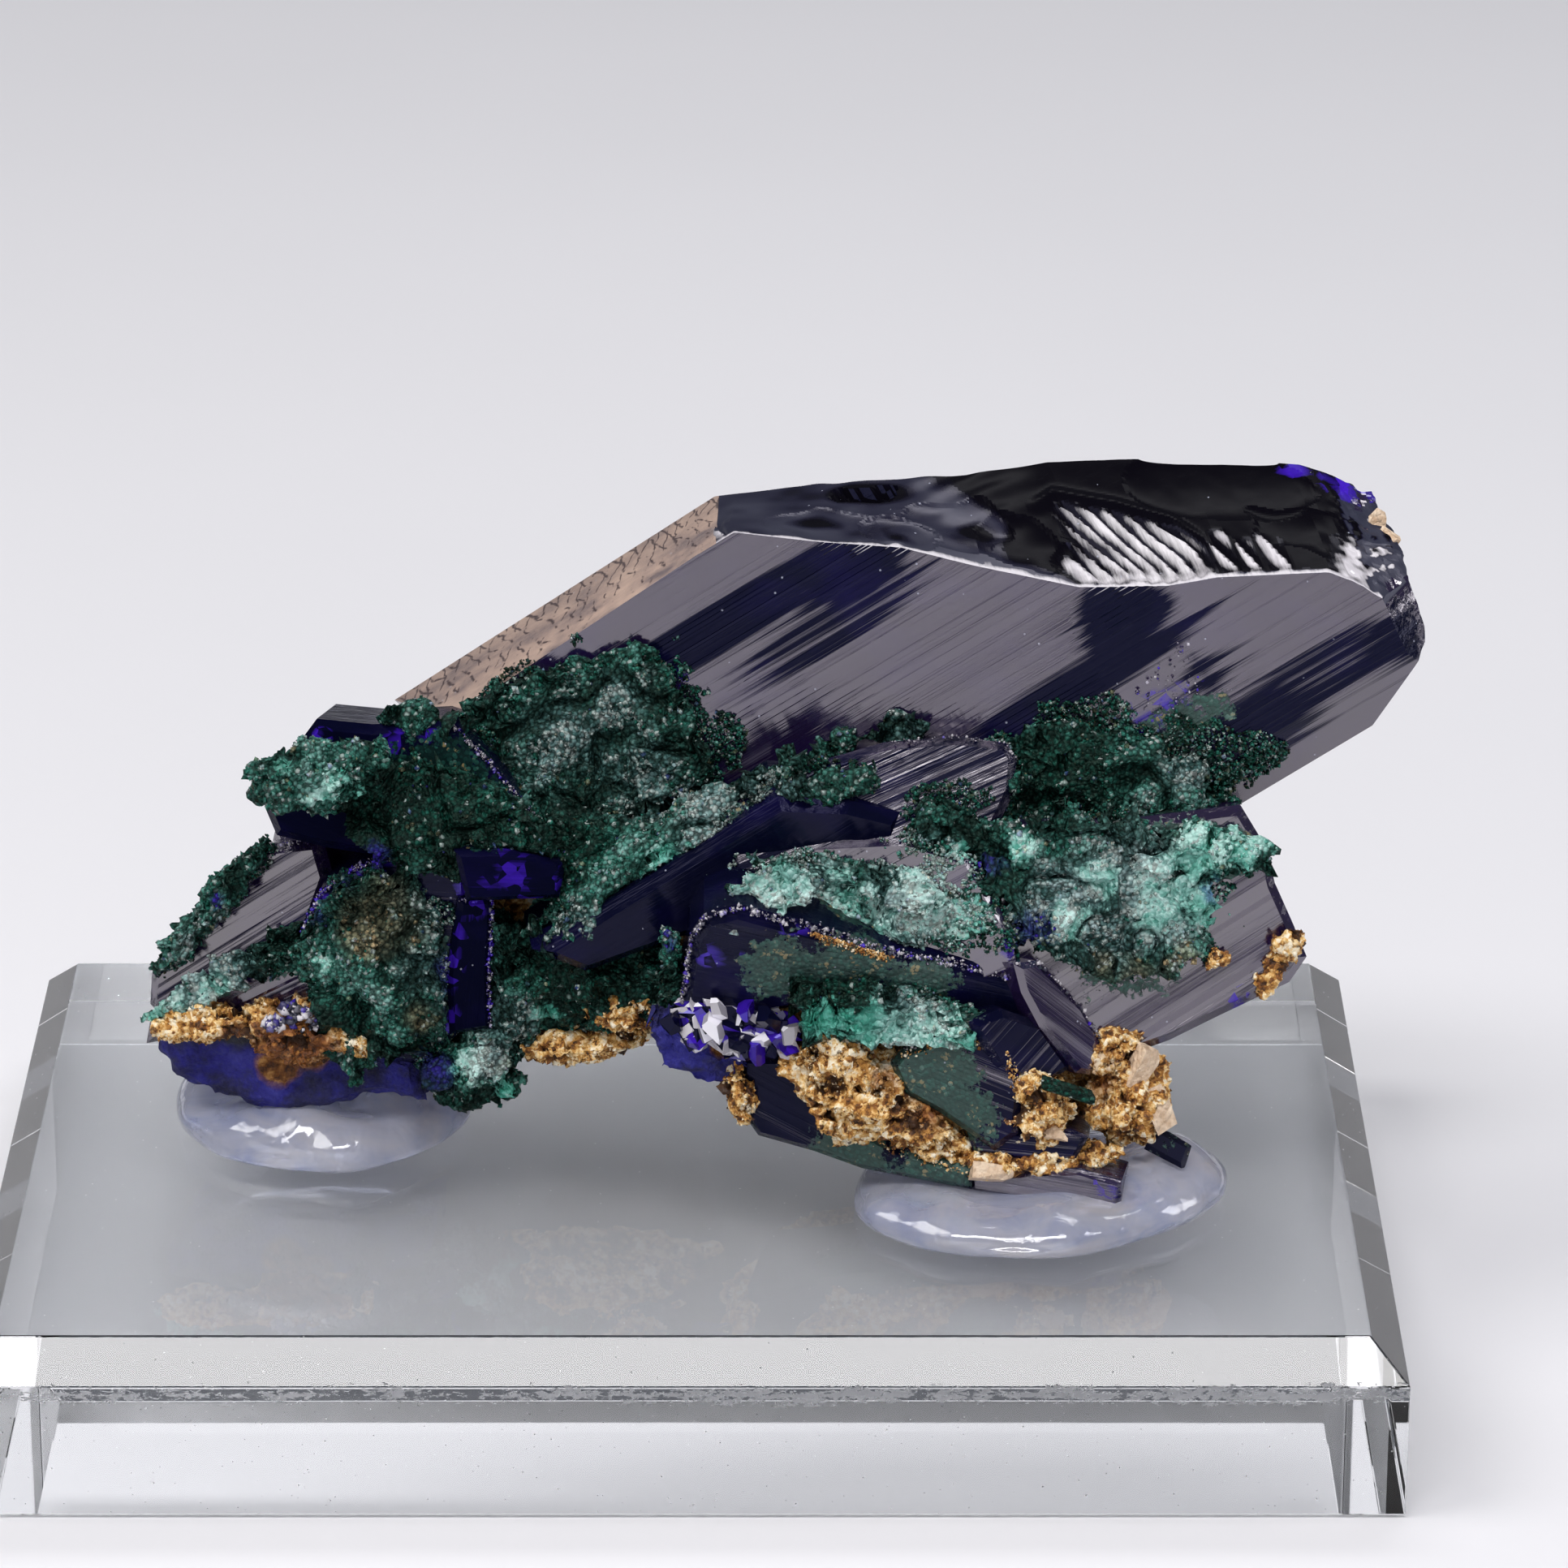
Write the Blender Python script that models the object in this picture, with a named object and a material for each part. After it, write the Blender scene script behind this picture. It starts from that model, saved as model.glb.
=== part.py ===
# Azurite crystals with malachite and limonite, held by two glue pads on a clear display block.
# Sizes are in millimetres until a mesh is made. X runs along the block, Y away from the viewer, Z up.
# The origin is the middle of the block's underside.
import math

import bmesh
import bpy
from mathutils import Vector, noise

MM = 0.001
# Clear distance kept between two pieces that touch
FIT_GAP = 0.3

BLOCK_WIDTH = 76.2
BLOCK_DEPTH = 50.8
BLOCK_HEIGHT = 9.6
BLOCK_CHAMFER = 2.0
PAD_FLOOR = BLOCK_HEIGHT + FIT_GAP

# Each azurite crystal is a tablet. "at" is a point on its face, "turn" swings the face to the right,
# "lean" tips it up and "rise" lifts its long axis. "face" is its outline, along and across the long axis.
CRYSTALS = {
    "middle_striated": {
        "at": (13.4, -3.5, 32.9), "turn": 5, "lean": 28, "rise": 22, "thick": 5.5, "bevel": 0.5,
        "face": [(-11.5, 3.1), (-8.7, 3.6), (-5.2, 3.4), (-1.6, 2.9), (2.1, 1.6), (4.4, 0.2),
                 (4.6, -0.8), (3.7, -2.4), (1.7, -4.1), (-4.1, -4.0), (-12.1, -0.5)],
    },
    "middle_dark": {
        "at": (4.6, -6.0, 30.1), "turn": 8, "lean": -4, "rise": 31, "thick": 5.5, "bevel": 0.6,
        "face": [(-14.0, 1.6), (1.7, 2.0), (4.7, -0.3), (6.7, -2.6), (5.6, -4.6), (3.3, -4.0),
                 (-0.9, -2.9), (-4.9, -2.8), (-12.3, -1.2)],
    },
    "arched_blade": {
        "at": (9.0, -7.0, 27.3), "turn": -5, "lean": 22, "rise": 30, "thick": 4.5, "bevel": 0.4,
        "face": [(-7.4, 3.0), (-5.7, 4.4), (-3.6, 4.5), (-0.6, 3.8), (4.1, 1.6), (6.6, -1.0),
                 (6.8, -5.0), (6.0, -7.6), (1.4, -6.9), (-5.5, -2.2)],
    },
    "front_roof": {
        "at": (6.8, -9.6, 25.1), "turn": 0, "lean": -12, "rise": -14, "thick": 5.0, "bevel": 0.6,
        "face": [(-6.1, -4.9), (-6.6, -0.5), (-6.2, 1.1), (-4.6, 2.1), (-0.4, 1.8), (4.2, 1.2),
                 (8.6, 1.3), (11.8, 0.9), (13.2, -1.3), (9.6, -2.4), (5.2, -2.8), (0.8, -3.4),
                 (-3.1, -5.4)],
    },
    "front_end": {
        "at": (19.9, -9.3, 22.1), "turn": 35, "lean": 15, "rise": -45, "thick": 4.0, "bevel": 0.3,
        "face": [(-3.5, 0.5), (-2.4, 1.4), (1.6, 0.9), (3.9, 0.0), (4.3, -1.8), (3.4, -2.2),
                 (-0.1, -1.4), (-2.2, -0.5)],
    },
    "right_plate": {
        "at": (24.3, -6.5, 23.7), "turn": 6, "lean": 14, "rise": 30, "thick": 5.5, "bevel": 0.5,
        "face": [(-3.1, 9.3), (-1.4, 9.4), (3.8, 6.5), (9.1, 4.0), (9.1, 1.3), (8.5, -0.7),
                 (8.2, -3.1), (7.9, -5.1), (6.4, -5.8), (2.1, -5.3), (-0.8, -5.0), (-3.5, -4.4),
                 (-5.6, -0.7), (-6.9, 4.4)],
    },
    "low_tablet": {
        "at": (14.6, -10.5, 17.8), "turn": -6, "lean": 6, "rise": -20, "thick": 5.0, "bevel": 0.4,
        "face": [(-3.8, -0.2), (-3.5, 0.8), (-0.6, 3.4), (1.8, 3.2), (3.3, 1.3), (4.0, -1.3),
                 (3.2, -2.7), (-0.3, -1.8), (-2.5, -1.5)],
    },
    "low_facets": {
        "at": (18.1, -10.2, 20.1), "turn": 22, "lean": 10, "rise": 40, "thick": 5.0, "bevel": 0.4,
        "face": [(-1.1, 3.3), (0.7, 2.3), (1.7, 0.0), (1.2, -3.2), (-0.9, -2.6), (-1.8, 0.1)],
    },
    "low_ledge": {
        "at": (18.6, -10.6, 14.5), "turn": -4, "lean": 14, "rise": -4, "thick": 4.5, "bevel": 0.3,
        "face": [(-3.5, 0.3), (2.1, 1.0), (3.1, 0.7), (2.5, -0.6), (1.4, -1.1), (-3.0, -0.9)],
    },
    "low_prism": {
        "at": (19.5, -10.8, 12.0), "turn": -10, "lean": 6, "rise": -6, "thick": 3.6, "bevel": 0.3,
        "face": [(-4.4, 0.0), (1.5, 1.4), (3.8, 1.1), (4.0, -0.5), (3.3, -0.8), (0.6, -0.9),
                 (-4.2, -1.0)],
    },
    "low_keel": {
        "at": (5.1, -8.6, 15.9), "turn": -12, "lean": 4, "rise": -24, "thick": 5.5, "bevel": 0.4,
        "face": [(-3.2, 1.4), (-0.2, 3.0), (2.5, 1.0), (6.7, 0.9), (10.8, 1.8), (11.3, 0.6),
                 (5.5, -1.3), (2.8, -1.7), (-0.3, -2.4), (-1.2, -1.9)],
    },
    "left_blade": {
        "at": (-24.2, -0.8, 23.5), "turn": -14, "lean": 18, "rise": 36, "thick": 5.5, "bevel": 0.6,
        "face": [(-6.4, 0.1), (-4.8, 0.7), (-2.5, 1.4), (2.9, 2.9), (6.0, 1.5), (5.4, -0.7),
                 (2.7, -2.8), (-3.5, -2.6), (-7.2, -2.2), (-7.4, -1.3)],
    },
    "left_foot": {
        "at": (-24.7, -2.6, 19.0), "turn": -8, "lean": 4, "rise": 30, "thick": 5.0, "bevel": 0.5,
        "face": [(-4.8, 1.4), (-1.4, 2.2), (2.7, 2.1), (6.0, 1.2), (3.8, -3.7), (1.0, -2.9),
                 (-2.4, -0.8), (-5.8, 0.2)],
    },
    "left_roof": {
        "at": (-15.1, -2.0, 31.7), "turn": -10, "lean": 12, "rise": -20, "thick": 5.5, "bevel": 0.5,
        "face": [(-6.0, 1.4), (-3.0, 2.4), (0.9, 4.4), (3.5, 3.3), (6.3, 1.8), (9.4, -0.1),
                 (5.6, -2.1), (1.5, -3.8), (-2.9, -5.0), (-5.7, -5.5), (-6.9, -4.3), (-6.8, -1.7)],
    },
    "round_crystal": {
        "at": (-16.3, -3.8, 22.2), "turn": -6, "lean": 2, "rise": 0, "thick": 5.5, "bevel": 0.4,
        "face": [(-4.6, 1.5), (-3.6, 3.9), (-1.5, 5.6), (0.8, 6.4), (4.5, 6.6), (4.7, 0.4),
                 (3.7, -4.4), (1.9, -6.2), (-0.3, -5.9), (-2.5, -4.2), (-4.1, -1.9)],
    },
    "bar_crystal": {
        "at": (-9.4, -4.4, 27.5), "turn": 4, "lean": 2, "rise": -4, "thick": 5.0, "bevel": 0.3,
        "face": [(-3.1, 1.3), (-0.5, 1.5), (2.6, 1.0), (2.9, 0.5), (2.7, -1.2), (-2.3, -1.6)],
    },
    "post_crystal": {
        "at": (-11.7, -4.6, 22.3), "turn": 10, "lean": 0, "rise": 85, "thick": 5.0, "bevel": 0.3,
        "face": [(3.9, 0.9), (4.0, -1.0), (-0.5, -1.1), (-3.8, -1.4), (-4.2, 0.8), (-0.5, 1.2)],
    },
    "left_base": {
        "at": (-22.1, -3.0, 15.2), "turn": -6, "lean": -2, "rise": 4, "thick": 8.0, "bevel": 0.6,
        "face": [(-7.4, 2.9), (-1.9, 3.1), (4.8, 2.0), (7.7, 0.4), (7.7, -2.4), (6.6, -2.2),
                 (4.8, -2.0), (1.9, -2.9), (-0.9, -2.9), (-2.5, -2.4), (-5.1, -1.3), (-6.3, -0.6),
                 (-7.0, 1.2)],
    },
    "back_blade": {
        "at": (16.0, 11.2, 25.0), "turn": 172, "lean": 12, "rise": -28, "thick": 4.0, "bevel": 0.5,
        "face": [(-10.5, 0.6), (-8.8, 3.4), (4.5, 4.2), (8.2, 2.4), (9.6, -0.8), (7.8, -3.0),
                 (-6.0, -4.4), (-9.6, -3.2)],
    },
    "back_plate": {
        "at": (-6.0, 10.4, 22.5), "turn": 186, "lean": 18, "rise": 24, "thick": 4.2, "bevel": 0.5,
        "face": [(-8.2, -2.0), (-7.4, 2.2), (-1.5, 4.6), (5.0, 3.8), (7.8, 0.6), (6.6, -3.2),
                 (-1.0, -4.8)],
    },
    "back_stub": {
        "at": (-19.5, 6.6, 26.0), "turn": 200, "lean": 8, "rise": -40, "thick": 4.5, "bevel": 0.4,
        "face": [(-5.4, -1.6), (-5.0, 1.8), (2.6, 2.6), (4.8, 0.8), (4.2, -1.9)],
    },
}

# The main blade keeps three outlines: its striated face, its widest section behind the lower bevel,
# and its back. The broken top edge climbs towards the back.
MAIN_BLADE = {
    "at": (13.4, 0.5, 38.8), "turn": -4, "lean": 6, "rise": 33,
    "sections": [
        (0.0, [(-5.7, 11.1), (-2.4, 8.5), (1.5, 5.7), (4.3, 2.8), (8.5, -1.2), (12.6, -3.6),
               (15.1, -4.6), (20.4, -7.5), (22.0, -10.0), (21.6, -12.7), (20.0, -13.2),
               (4.4, -13.6), (-8.9, -14.1), (-17.5, -11.0), (-24.3, -0.9), (-24.4, 10.3)]),
        (2.2, [(-6.0, 11.4), (-2.3, 8.9), (1.6, 6.3), (4.6, 3.7), (8.8, 0.4), (12.9, -2.1),
               (15.8, -3.4), (20.6, -6.3), (23.9, -10.1), (22.9, -13.4), (17.6, -16.6),
               (2.2, -17.1), (-11.0, -17.3), (-20.4, -13.6), (-26.1, -2.2), (-25.8, 10.6)]),
        (7.5, [(-7.1, 12.0), (-2.2, 9.8), (1.8, 7.7), (5.3, 5.8), (9.5, 4.1), (13.7, 1.7),
               (17.5, -0.6), (21.1, -3.2), (23.8, -6.3), (22.3, -12.9), (17.8, -15.4),
               (2.4, -15.4), (-11.2, -15.6), (-19.1, -11.4), (-26.1, -0.3), (-28.6, 11.5)]),
    ],
}

# Lumps: middle, half sizes along, across and through the lump, how it lies, and how finely it is cut.
# "lie" is turn, lean and rise as for a crystal.
MALACHITE_LUMPS = {
    "upper_fan": {"at": (-6.4, 0.4, 33.0), "half": (7.0, 4.6, 1.9), "lie": (-4, 6, 30), "cuts": 3},
    "upper_tuft": {"at": (-3.7, 0.4, 36.3), "half": (2.6, 2.2, 1.2), "lie": (-4, 6, 20), "cuts": 2},
    "upper_shoulder": {"at": (-9.6, 0.6, 34.0), "half": (3.4, 2.6, 1.6), "lie": (0, 8, 30), "cuts": 2},
    "upper_mound": {"at": (-2.0, -0.6, 31.6), "half": (3.6, 2.6, 2.0), "lie": (0, 10, 10), "cuts": 2},
    "upper_gully": {"at": (-6.8, -1.6, 28.6), "half": (4.2, 2.8, 2.6), "lie": (0, 10, -20), "cuts": 2},
    "pale_lump": {"at": (-19.7, -4.8, 33.8), "half": (3.4, 1.9, 1.7), "lie": (-10, 20, 12), "cuts": 2},
    "roof_cover": {"at": (-13.4, -3.6, 30.8), "half": (6.2, 3.0, 1.5), "lie": (-10, 20, -14), "cuts": 2},
    "disc_fill": {"at": (-16.7, -4.3, 22.0), "half": (4.0, 5.4, 1.6), "lie": (-6, 2, 0), "cuts": 3},
    "middle_mass": {"at": (-6.0, -2.6, 21.6), "half": (5.6, 3.4, 3.6), "lie": (0, 0, -8), "cuts": 3},
    "middle_knob": {"at": (-2.4, -3.6, 20.9), "half": (3.0, 2.2, 2.4), "lie": (0, 0, 0), "cuts": 2},
    "bottom_knob": {"at": (-11.8, -3.6, 15.7), "half": (2.9, 2.1, 2.6), "lie": (0, 0, 4), "cuts": 2},
    "right_mound": {"at": (20.8, -1.2, 32.2), "half": (4.6, 3.0, 2.2), "lie": (0, 10, 10), "cuts": 2},
    "right_knob": {"at": (25.2, -1.8, 31.0), "half": (3.4, 2.4, 1.9), "lie": (0, 10, 0), "cuts": 2},
    "right_tuft": {"at": (28.8, -0.4, 32.1), "half": (2.6, 1.6, 1.2), "lie": (-4, 6, 33), "cuts": 2},
    "plate_cover": {"at": (22.4, -6.4, 27.2), "half": (6.4, 3.9, 1.2), "lie": (6, 14, -18), "cuts": 3},
    "plate_brow": {"at": (27.0, -5.2, 29.2), "half": (4.2, 1.6, 1.5), "lie": (6, 20, -4), "cuts": 2},
    "arch_cover": {"at": (9.4, -7.1, 27.1), "half": (7.2, 2.4, 1.0), "lie": (-5, 22, -8), "cuts": 2},
    "roof_hollow": {"at": (10.6, -9.9, 22.8), "half": (5.4, 2.0, 1.5), "lie": (0, 0, -8), "cuts": 2},
    "left_ridge": {"at": (-27.0, -1.2, 24.6), "half": (4.4, 0.9, 1.4), "lie": (-14, 18, 54), "cuts": 2},
    "left_streak": {"at": (-26.0, -3.4, 20.6), "half": (3.4, 1.2, 0.9), "lie": (-10, 10, 30), "cuts": 2},
    "dark_top": {"at": (-0.6, -4.2, 29.6), "half": (8.0, 1.3, 2.0), "lie": (8, 0, 31), "cuts": 2},
    "striated_knob": {"at": (8.1, -4.9, 33.0), "half": (3.0, 1.2, 1.2), "lie": (5, 28, 6), "cuts": 2},
    "striated_foot": {"at": (13.8, -5.2, 31.0), "half": (1.8, 1.6, 1.2), "lie": (5, 28, 0), "cuts": 2},
    "front_edge": {"at": (-0.8, -8.0, 24.4), "half": (0.9, 3.2, 1.8), "lie": (0, 0, 0), "cuts": 2},
    "back_mound": {"at": (4.0, 8.6, 30.0), "half": (6.6, 3.4, 2.2), "lie": (180, 10, 20), "cuts": 2},
    "back_knob": {"at": (-13.0, 7.0, 27.0), "half": (4.6, 3.4, 2.6), "lie": (190, 10, -20), "cuts": 2},
}

LIMONITE_LUMPS = {
    "right_core": {"at": (12.6, -2.2, 17.4), "half": (10.6, 4.4, 5.6), "lie": (0, 0, -12), "cuts": 3},
    "middle_core": {"at": (-5.0, 3.0, 21.0), "half": (10.5, 3.4, 4.6), "lie": (0, 0, 2), "cuts": 3},
    "left_core": {"at": (-21.0, 3.6, 19.6), "half": (7.2, 5.2, 4.8), "lie": (0, 0, 10), "cuts": 3},
    "upper_core": {"at": (4.0, 3.4, 25.4), "half": (12.0, 4.2, 4.6), "lie": (0, 0, 14), "cuts": 2},
    "ochre_hollow": {"at": (10.4, -7.8, 16.2), "half": (5.4, 2.6, 3.4), "lie": (0, 0, -26), "cuts": 3},
    "ochre_right": {"at": (24.0, -7.4, 15.8), "half": (2.1, 2.8, 2.4), "lie": (0, 0, 0), "cuts": 2},
    "ochre_front": {"at": (18.8, -9.3, 16.4), "half": (1.8, 2.4, 2.2), "lie": (0, 0, 10), "cuts": 2},
    "ochre_strip": {"at": (19.1, -9.4, 12.9), "half": (4.4, 1.0, 2.4), "lie": (0, 0, 2), "cuts": 2},
    "ochre_left": {"at": (2.9, -7.6, 16.2), "half": (1.0, 2.0, 1.8), "lie": (0, 0, 12), "cuts": 2},
    "bridge_knob": {"at": (-3.3, -4.2, 19.6), "half": (1.9, 1.0, 1.8), "lie": (0, 0, 6), "cuts": 2},
    "bridge_strip": {"at": (-6.0, -2.6, 17.2), "half": (3.8, 1.0, 2.4), "lie": (0, 0, 4), "cuts": 2},
    "rust_band": {"at": (-20.9, -3.4, 17.9), "half": (3.6, 1.6, 1.3), "lie": (-6, 0, -4), "cuts": 2},
    "rust_knob": {"at": (-26.4, -3.2, 18.3), "half": (2.7, 0.9, 1.3), "lie": (-6, 0, 4), "cuts": 2},
    "pale_chip": {"at": (25.0, -8.2, 17.9), "half": (1.0, 1.4, 0.9), "lie": (20, 10, 20), "cuts": 1},
    "low_chip": {"at": (25.0, -8.8, 15.3), "half": (0.9, 1.2, 0.9), "lie": (-10, 0, -20), "cuts": 1},
}

# Outline of each glue pad where it is widest, and how it draws in with height
LEFT_PAD = {"middle": (-20.4, 2.6), "half": (8.4, 7.9), "points": 28}
RIGHT_PAD = [(8.6, -9.1), (9.4, -11.6), (12.0, -14.2), (15.5, -15.4), (19.4, -15.8), (22.6, -14.8),
             (25.8, -12.6), (28.4, -10.2), (29.7, -7.7), (29.5, -5.0), (27.6, -2.7), (24.2, -1.4),
             (20.0, -1.2), (15.4, -1.9), (11.4, -3.4), (9.2, -6.0)]
PAD_PROFILE = [(0.0, 0.7), (0.5, 0.15), (1.2, 0.0), (2.0, 0.35), (2.7, 1.1), (3.1, 2.4), (3.25, 3.8)]

# Share of a lump's half size by which its surface swells and dips, and how many swells it carries
LUMP_RELIEF = 0.34
LUMP_SWELLS = 2.6
# Keeps one lump's swells apart from the next one's
LUMP_SHIFT = 7.3

# Faces closer to one plane than this are one face
FLAT_ANGLE = math.radians(0.5)


def material(name, colour, roughness, transmission=0.0, ior=1.5):
    made = bpy.data.materials.new(name)
    made.use_nodes = True
    shader = made.node_tree.nodes["Principled BSDF"]
    shader.inputs["Base Color"].default_value = (*colour, 1.0)
    shader.inputs["Roughness"].default_value = roughness
    shader.inputs["Metallic"].default_value = 0.0
    shader.inputs["Transmission Weight"].default_value = transmission
    shader.inputs["IOR"].default_value = ior
    return made


def face_directions(turn, lean, rise):
    """The directions along, across and out of a face."""
    turn, lean, rise = (math.radians(angle) for angle in (turn, lean, rise))
    out = Vector((math.sin(turn) * math.cos(lean), -math.cos(turn) * math.cos(lean), math.sin(lean)))
    level = Vector((math.cos(turn), math.sin(turn), 0.0))
    up = out.cross(level)
    along = level * math.cos(rise) + up * math.sin(rise)
    across = up * math.cos(rise) - level * math.sin(rise)
    return along, across, out


def moved_edges(outline, distance):
    """The outline with every edge moved outwards by a distance."""
    count = len(outline)
    points = [Vector(point) for point in outline]
    area = sum(here.cross(ahead) for here, ahead in zip(points, points[1:] + points[:1]))
    side = 1.0 if area > 0 else -1.0
    moved = []
    for i in range(count):
        before = (points[i] - points[i - 1]).normalized()
        after = (points[(i + 1) % count] - points[i]).normalized()
        corner = sum((Vector((edge.y, -edge.x)) * side for edge in (before, after)), Vector((0.0, 0.0)))
        # A sharp corner moves no further than twice the distance
        moved.append(points[i] + corner * distance / max(corner.length_squared / 2.0, 0.5))
    return moved


def piece(name, mesh, finish):
    """An object of its own from a bmesh, with its faces pointing out."""
    bmesh.ops.recalc_face_normals(mesh, faces=mesh.faces[:])
    data = bpy.data.meshes.new(name)
    mesh.to_mesh(data)
    mesh.free()
    data.materials.append(finish)
    made = bpy.data.objects.new(name, data)
    bpy.context.scene.collection.objects.link(made)
    return made


def skinned(name, rings, finish):
    """A closed solid through rings of equal count, given in millimetres."""
    mesh = bmesh.new()
    loops = [[mesh.verts.new(Vector(point) * MM) for point in ring] for ring in rings]
    count = len(loops[0])
    for lower, upper in zip(loops, loops[1:]):
        for i in range(count):
            j = (i + 1) % count
            mesh.faces.new((lower[i], lower[j], upper[j], upper[i]))
    mesh.faces.new(loops[0])
    mesh.faces.new(loops[-1])
    bmesh.ops.connect_verts_nonplanar(mesh, angle_limit=FLAT_ANGLE, faces=mesh.faces[:])
    return piece(name, mesh, finish)


def blade(name, plan, sections, finish, grow):
    """A crystal skinned through sections: each a depth behind its face, and an outline."""
    along, across, out = face_directions(plan["turn"], plan["lean"], plan["rise"])
    rings = []
    for depth, outline in sections:
        # The face and the back move out too, by the ends of the list of sections
        depth += grow * ((depth == sections[-1][0]) - (depth == sections[0][0]))
        rings.append([Vector(plan["at"]) + along * u + across * v - out * depth
                      for u, v in moved_edges(outline, grow)])
    return skinned(name, rings, finish)


def tablet_sections(plan):
    """Sections of a plain tablet: its outline, drawn in at the face and at the back."""
    bevel, thick = plan["bevel"], plan["thick"]
    narrow = moved_edges(plan["face"], -bevel)
    return [(0.0, narrow), (bevel, plan["face"]), (thick - bevel, plan["face"]), (thick, narrow)]


def lump(name, plan, finish, grow):
    """A rough knob: a sphere swollen and dented, flattened to its half sizes."""
    mesh = bmesh.new()
    bmesh.ops.create_icosphere(mesh, subdivisions=plan["cuts"], radius=1.0)
    axes = face_directions(*plan["lie"])
    middle = Vector(plan["at"])
    for vert in mesh.verts:
        spot = vert.co * LUMP_SWELLS + middle * LUMP_SHIFT
        swell = 1.0 + LUMP_RELIEF * (noise.noise(spot) + 0.5 * noise.noise(spot * 2.3))
        reach = [part * (half * swell + grow) for part, half in zip(vert.co, plan["half"])]
        vert.co = (middle + sum((axis * far for axis, far in zip(axes, reach)), Vector())) * MM
    return piece(name, mesh, finish)


def combined(target, others, operation):
    """Joins the others to the target, or cuts them from it, and removes them."""
    for other in others:
        boolean = target.modifiers.new(operation.lower(), "BOOLEAN")
        boolean.operation = operation
        boolean.solver = "EXACT"
        boolean.material_mode = "TRANSFER"
        boolean.object = other
        seen = target.evaluated_get(bpy.context.evaluated_depsgraph_get())
        target.data = bpy.data.meshes.new_from_object(seen)
        target.modifiers.clear()
        bpy.data.objects.remove(other)
    return target


def shells(mesh):
    """The separate closed skins of a bmesh, each as its faces and the volume inside it."""
    unseen = set(mesh.faces)
    while unseen:
        found, ahead = [], [unseen.pop()]
        while ahead:
            face = ahead.pop()
            found.append(face)
            for near in {other for edge in face.edges for other in edge.link_faces} & unseen:
                unseen.discard(near)
                ahead.append(near)
        volume = sum(face.calc_area() * face.normal.dot(face.calc_center_median()) for face in found)
        yield found, volume / 3.0


def keep_largest_shell(target):
    """Fills sealed cavities and drops slivers that a cut left loose."""
    mesh = bmesh.new()
    mesh.from_mesh(target.data)
    bmesh.ops.dissolve_limit(mesh, angle_limit=FLAT_ANGLE, verts=mesh.verts[:], edges=mesh.edges[:])
    bmesh.ops.triangulate(mesh, faces=mesh.faces[:])
    skins = sorted(shells(mesh), key=lambda skin: skin[1])
    lesser = [face for faces, _ in skins[:-1] for face in faces]
    bmesh.ops.delete(mesh, geom=lesser, context="FACES")
    mesh.to_mesh(target.data)
    mesh.free()
    return target


def specimen(name, minerals, grow=0.0):
    """Every crystal and crust, grown together in one solid. grow swells it, to cut room for it."""
    azurite, malachite, limonite = minerals
    whole = blade(name, MAIN_BLADE, MAIN_BLADE["sections"], azurite, grow)
    parts = [blade(key, plan, tablet_sections(plan), azurite, grow) for key, plan in CRYSTALS.items()]
    parts += [lump(key, plan, limonite, grow) for key, plan in LIMONITE_LUMPS.items()]
    parts += [lump(key, plan, malachite, grow) for key, plan in MALACHITE_LUMPS.items()]
    return keep_largest_shell(combined(whole, parts, "UNION"))


def glue_pad(name, outline, finish):
    """A set drop of glue: its outline drawn in with height, with a rounded rim."""
    rings = [[(point.x, point.y, PAD_FLOOR + height) for point in moved_edges(outline, -inset)]
             for height, inset in PAD_PROFILE]
    return skinned(name, rings, finish)


def left_pad_outline():
    middle, half, count = LEFT_PAD["middle"], LEFT_PAD["half"], LEFT_PAD["points"]
    angles = [2.0 * math.pi * i / count for i in range(count)]
    return [(middle[0] + half[0] * math.cos(angle), middle[1] + half[1] * math.sin(angle))
            for angle in angles]


def display_block(name, finish):
    """The clear block, with its top edges chamfered."""
    x, y = BLOCK_WIDTH / 2.0, BLOCK_DEPTH / 2.0
    corners = [(-1, -1), (1, -1), (1, 1), (-1, 1)]
    levels = [(0.0, 0.0), (BLOCK_HEIGHT - BLOCK_CHAMFER, 0.0), (BLOCK_HEIGHT, BLOCK_CHAMFER)]
    rings = [[(sx * (x - inset), sy * (y - inset), height) for sx, sy in corners]
             for height, inset in levels]
    return skinned(name, rings, finish)


def main():
    for leftover in list(bpy.data.objects):
        bpy.data.objects.remove(leftover)

    minerals = (
        material("azurite", (0.012, 0.014, 0.075), 0.12),
        material("malachite", (0.03, 0.22, 0.13), 0.75),
        material("limonite", (0.55, 0.33, 0.12), 0.9),
    )
    glue = material("set glue", (0.78, 0.84, 0.94), 0.15, 0.6, 1.46)
    acrylic = material("clear acrylic", (0.95, 0.97, 0.98), 0.03, 1.0, 1.49)

    specimen("azurite_specimen", minerals)
    display_block("display_block", acrylic)
    for name, outline in {"glue_pad_left": left_pad_outline(), "glue_pad_right": RIGHT_PAD}.items():
        pad = glue_pad(name, outline, glue)
        combined(pad, [specimen("specimen_room", minerals, FIT_GAP)], "DIFFERENCE")
        keep_largest_shell(pad)


main()
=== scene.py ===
import math
import random

import bpy
import numpy as np
from mathutils import Matrix, Vector, noise


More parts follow.
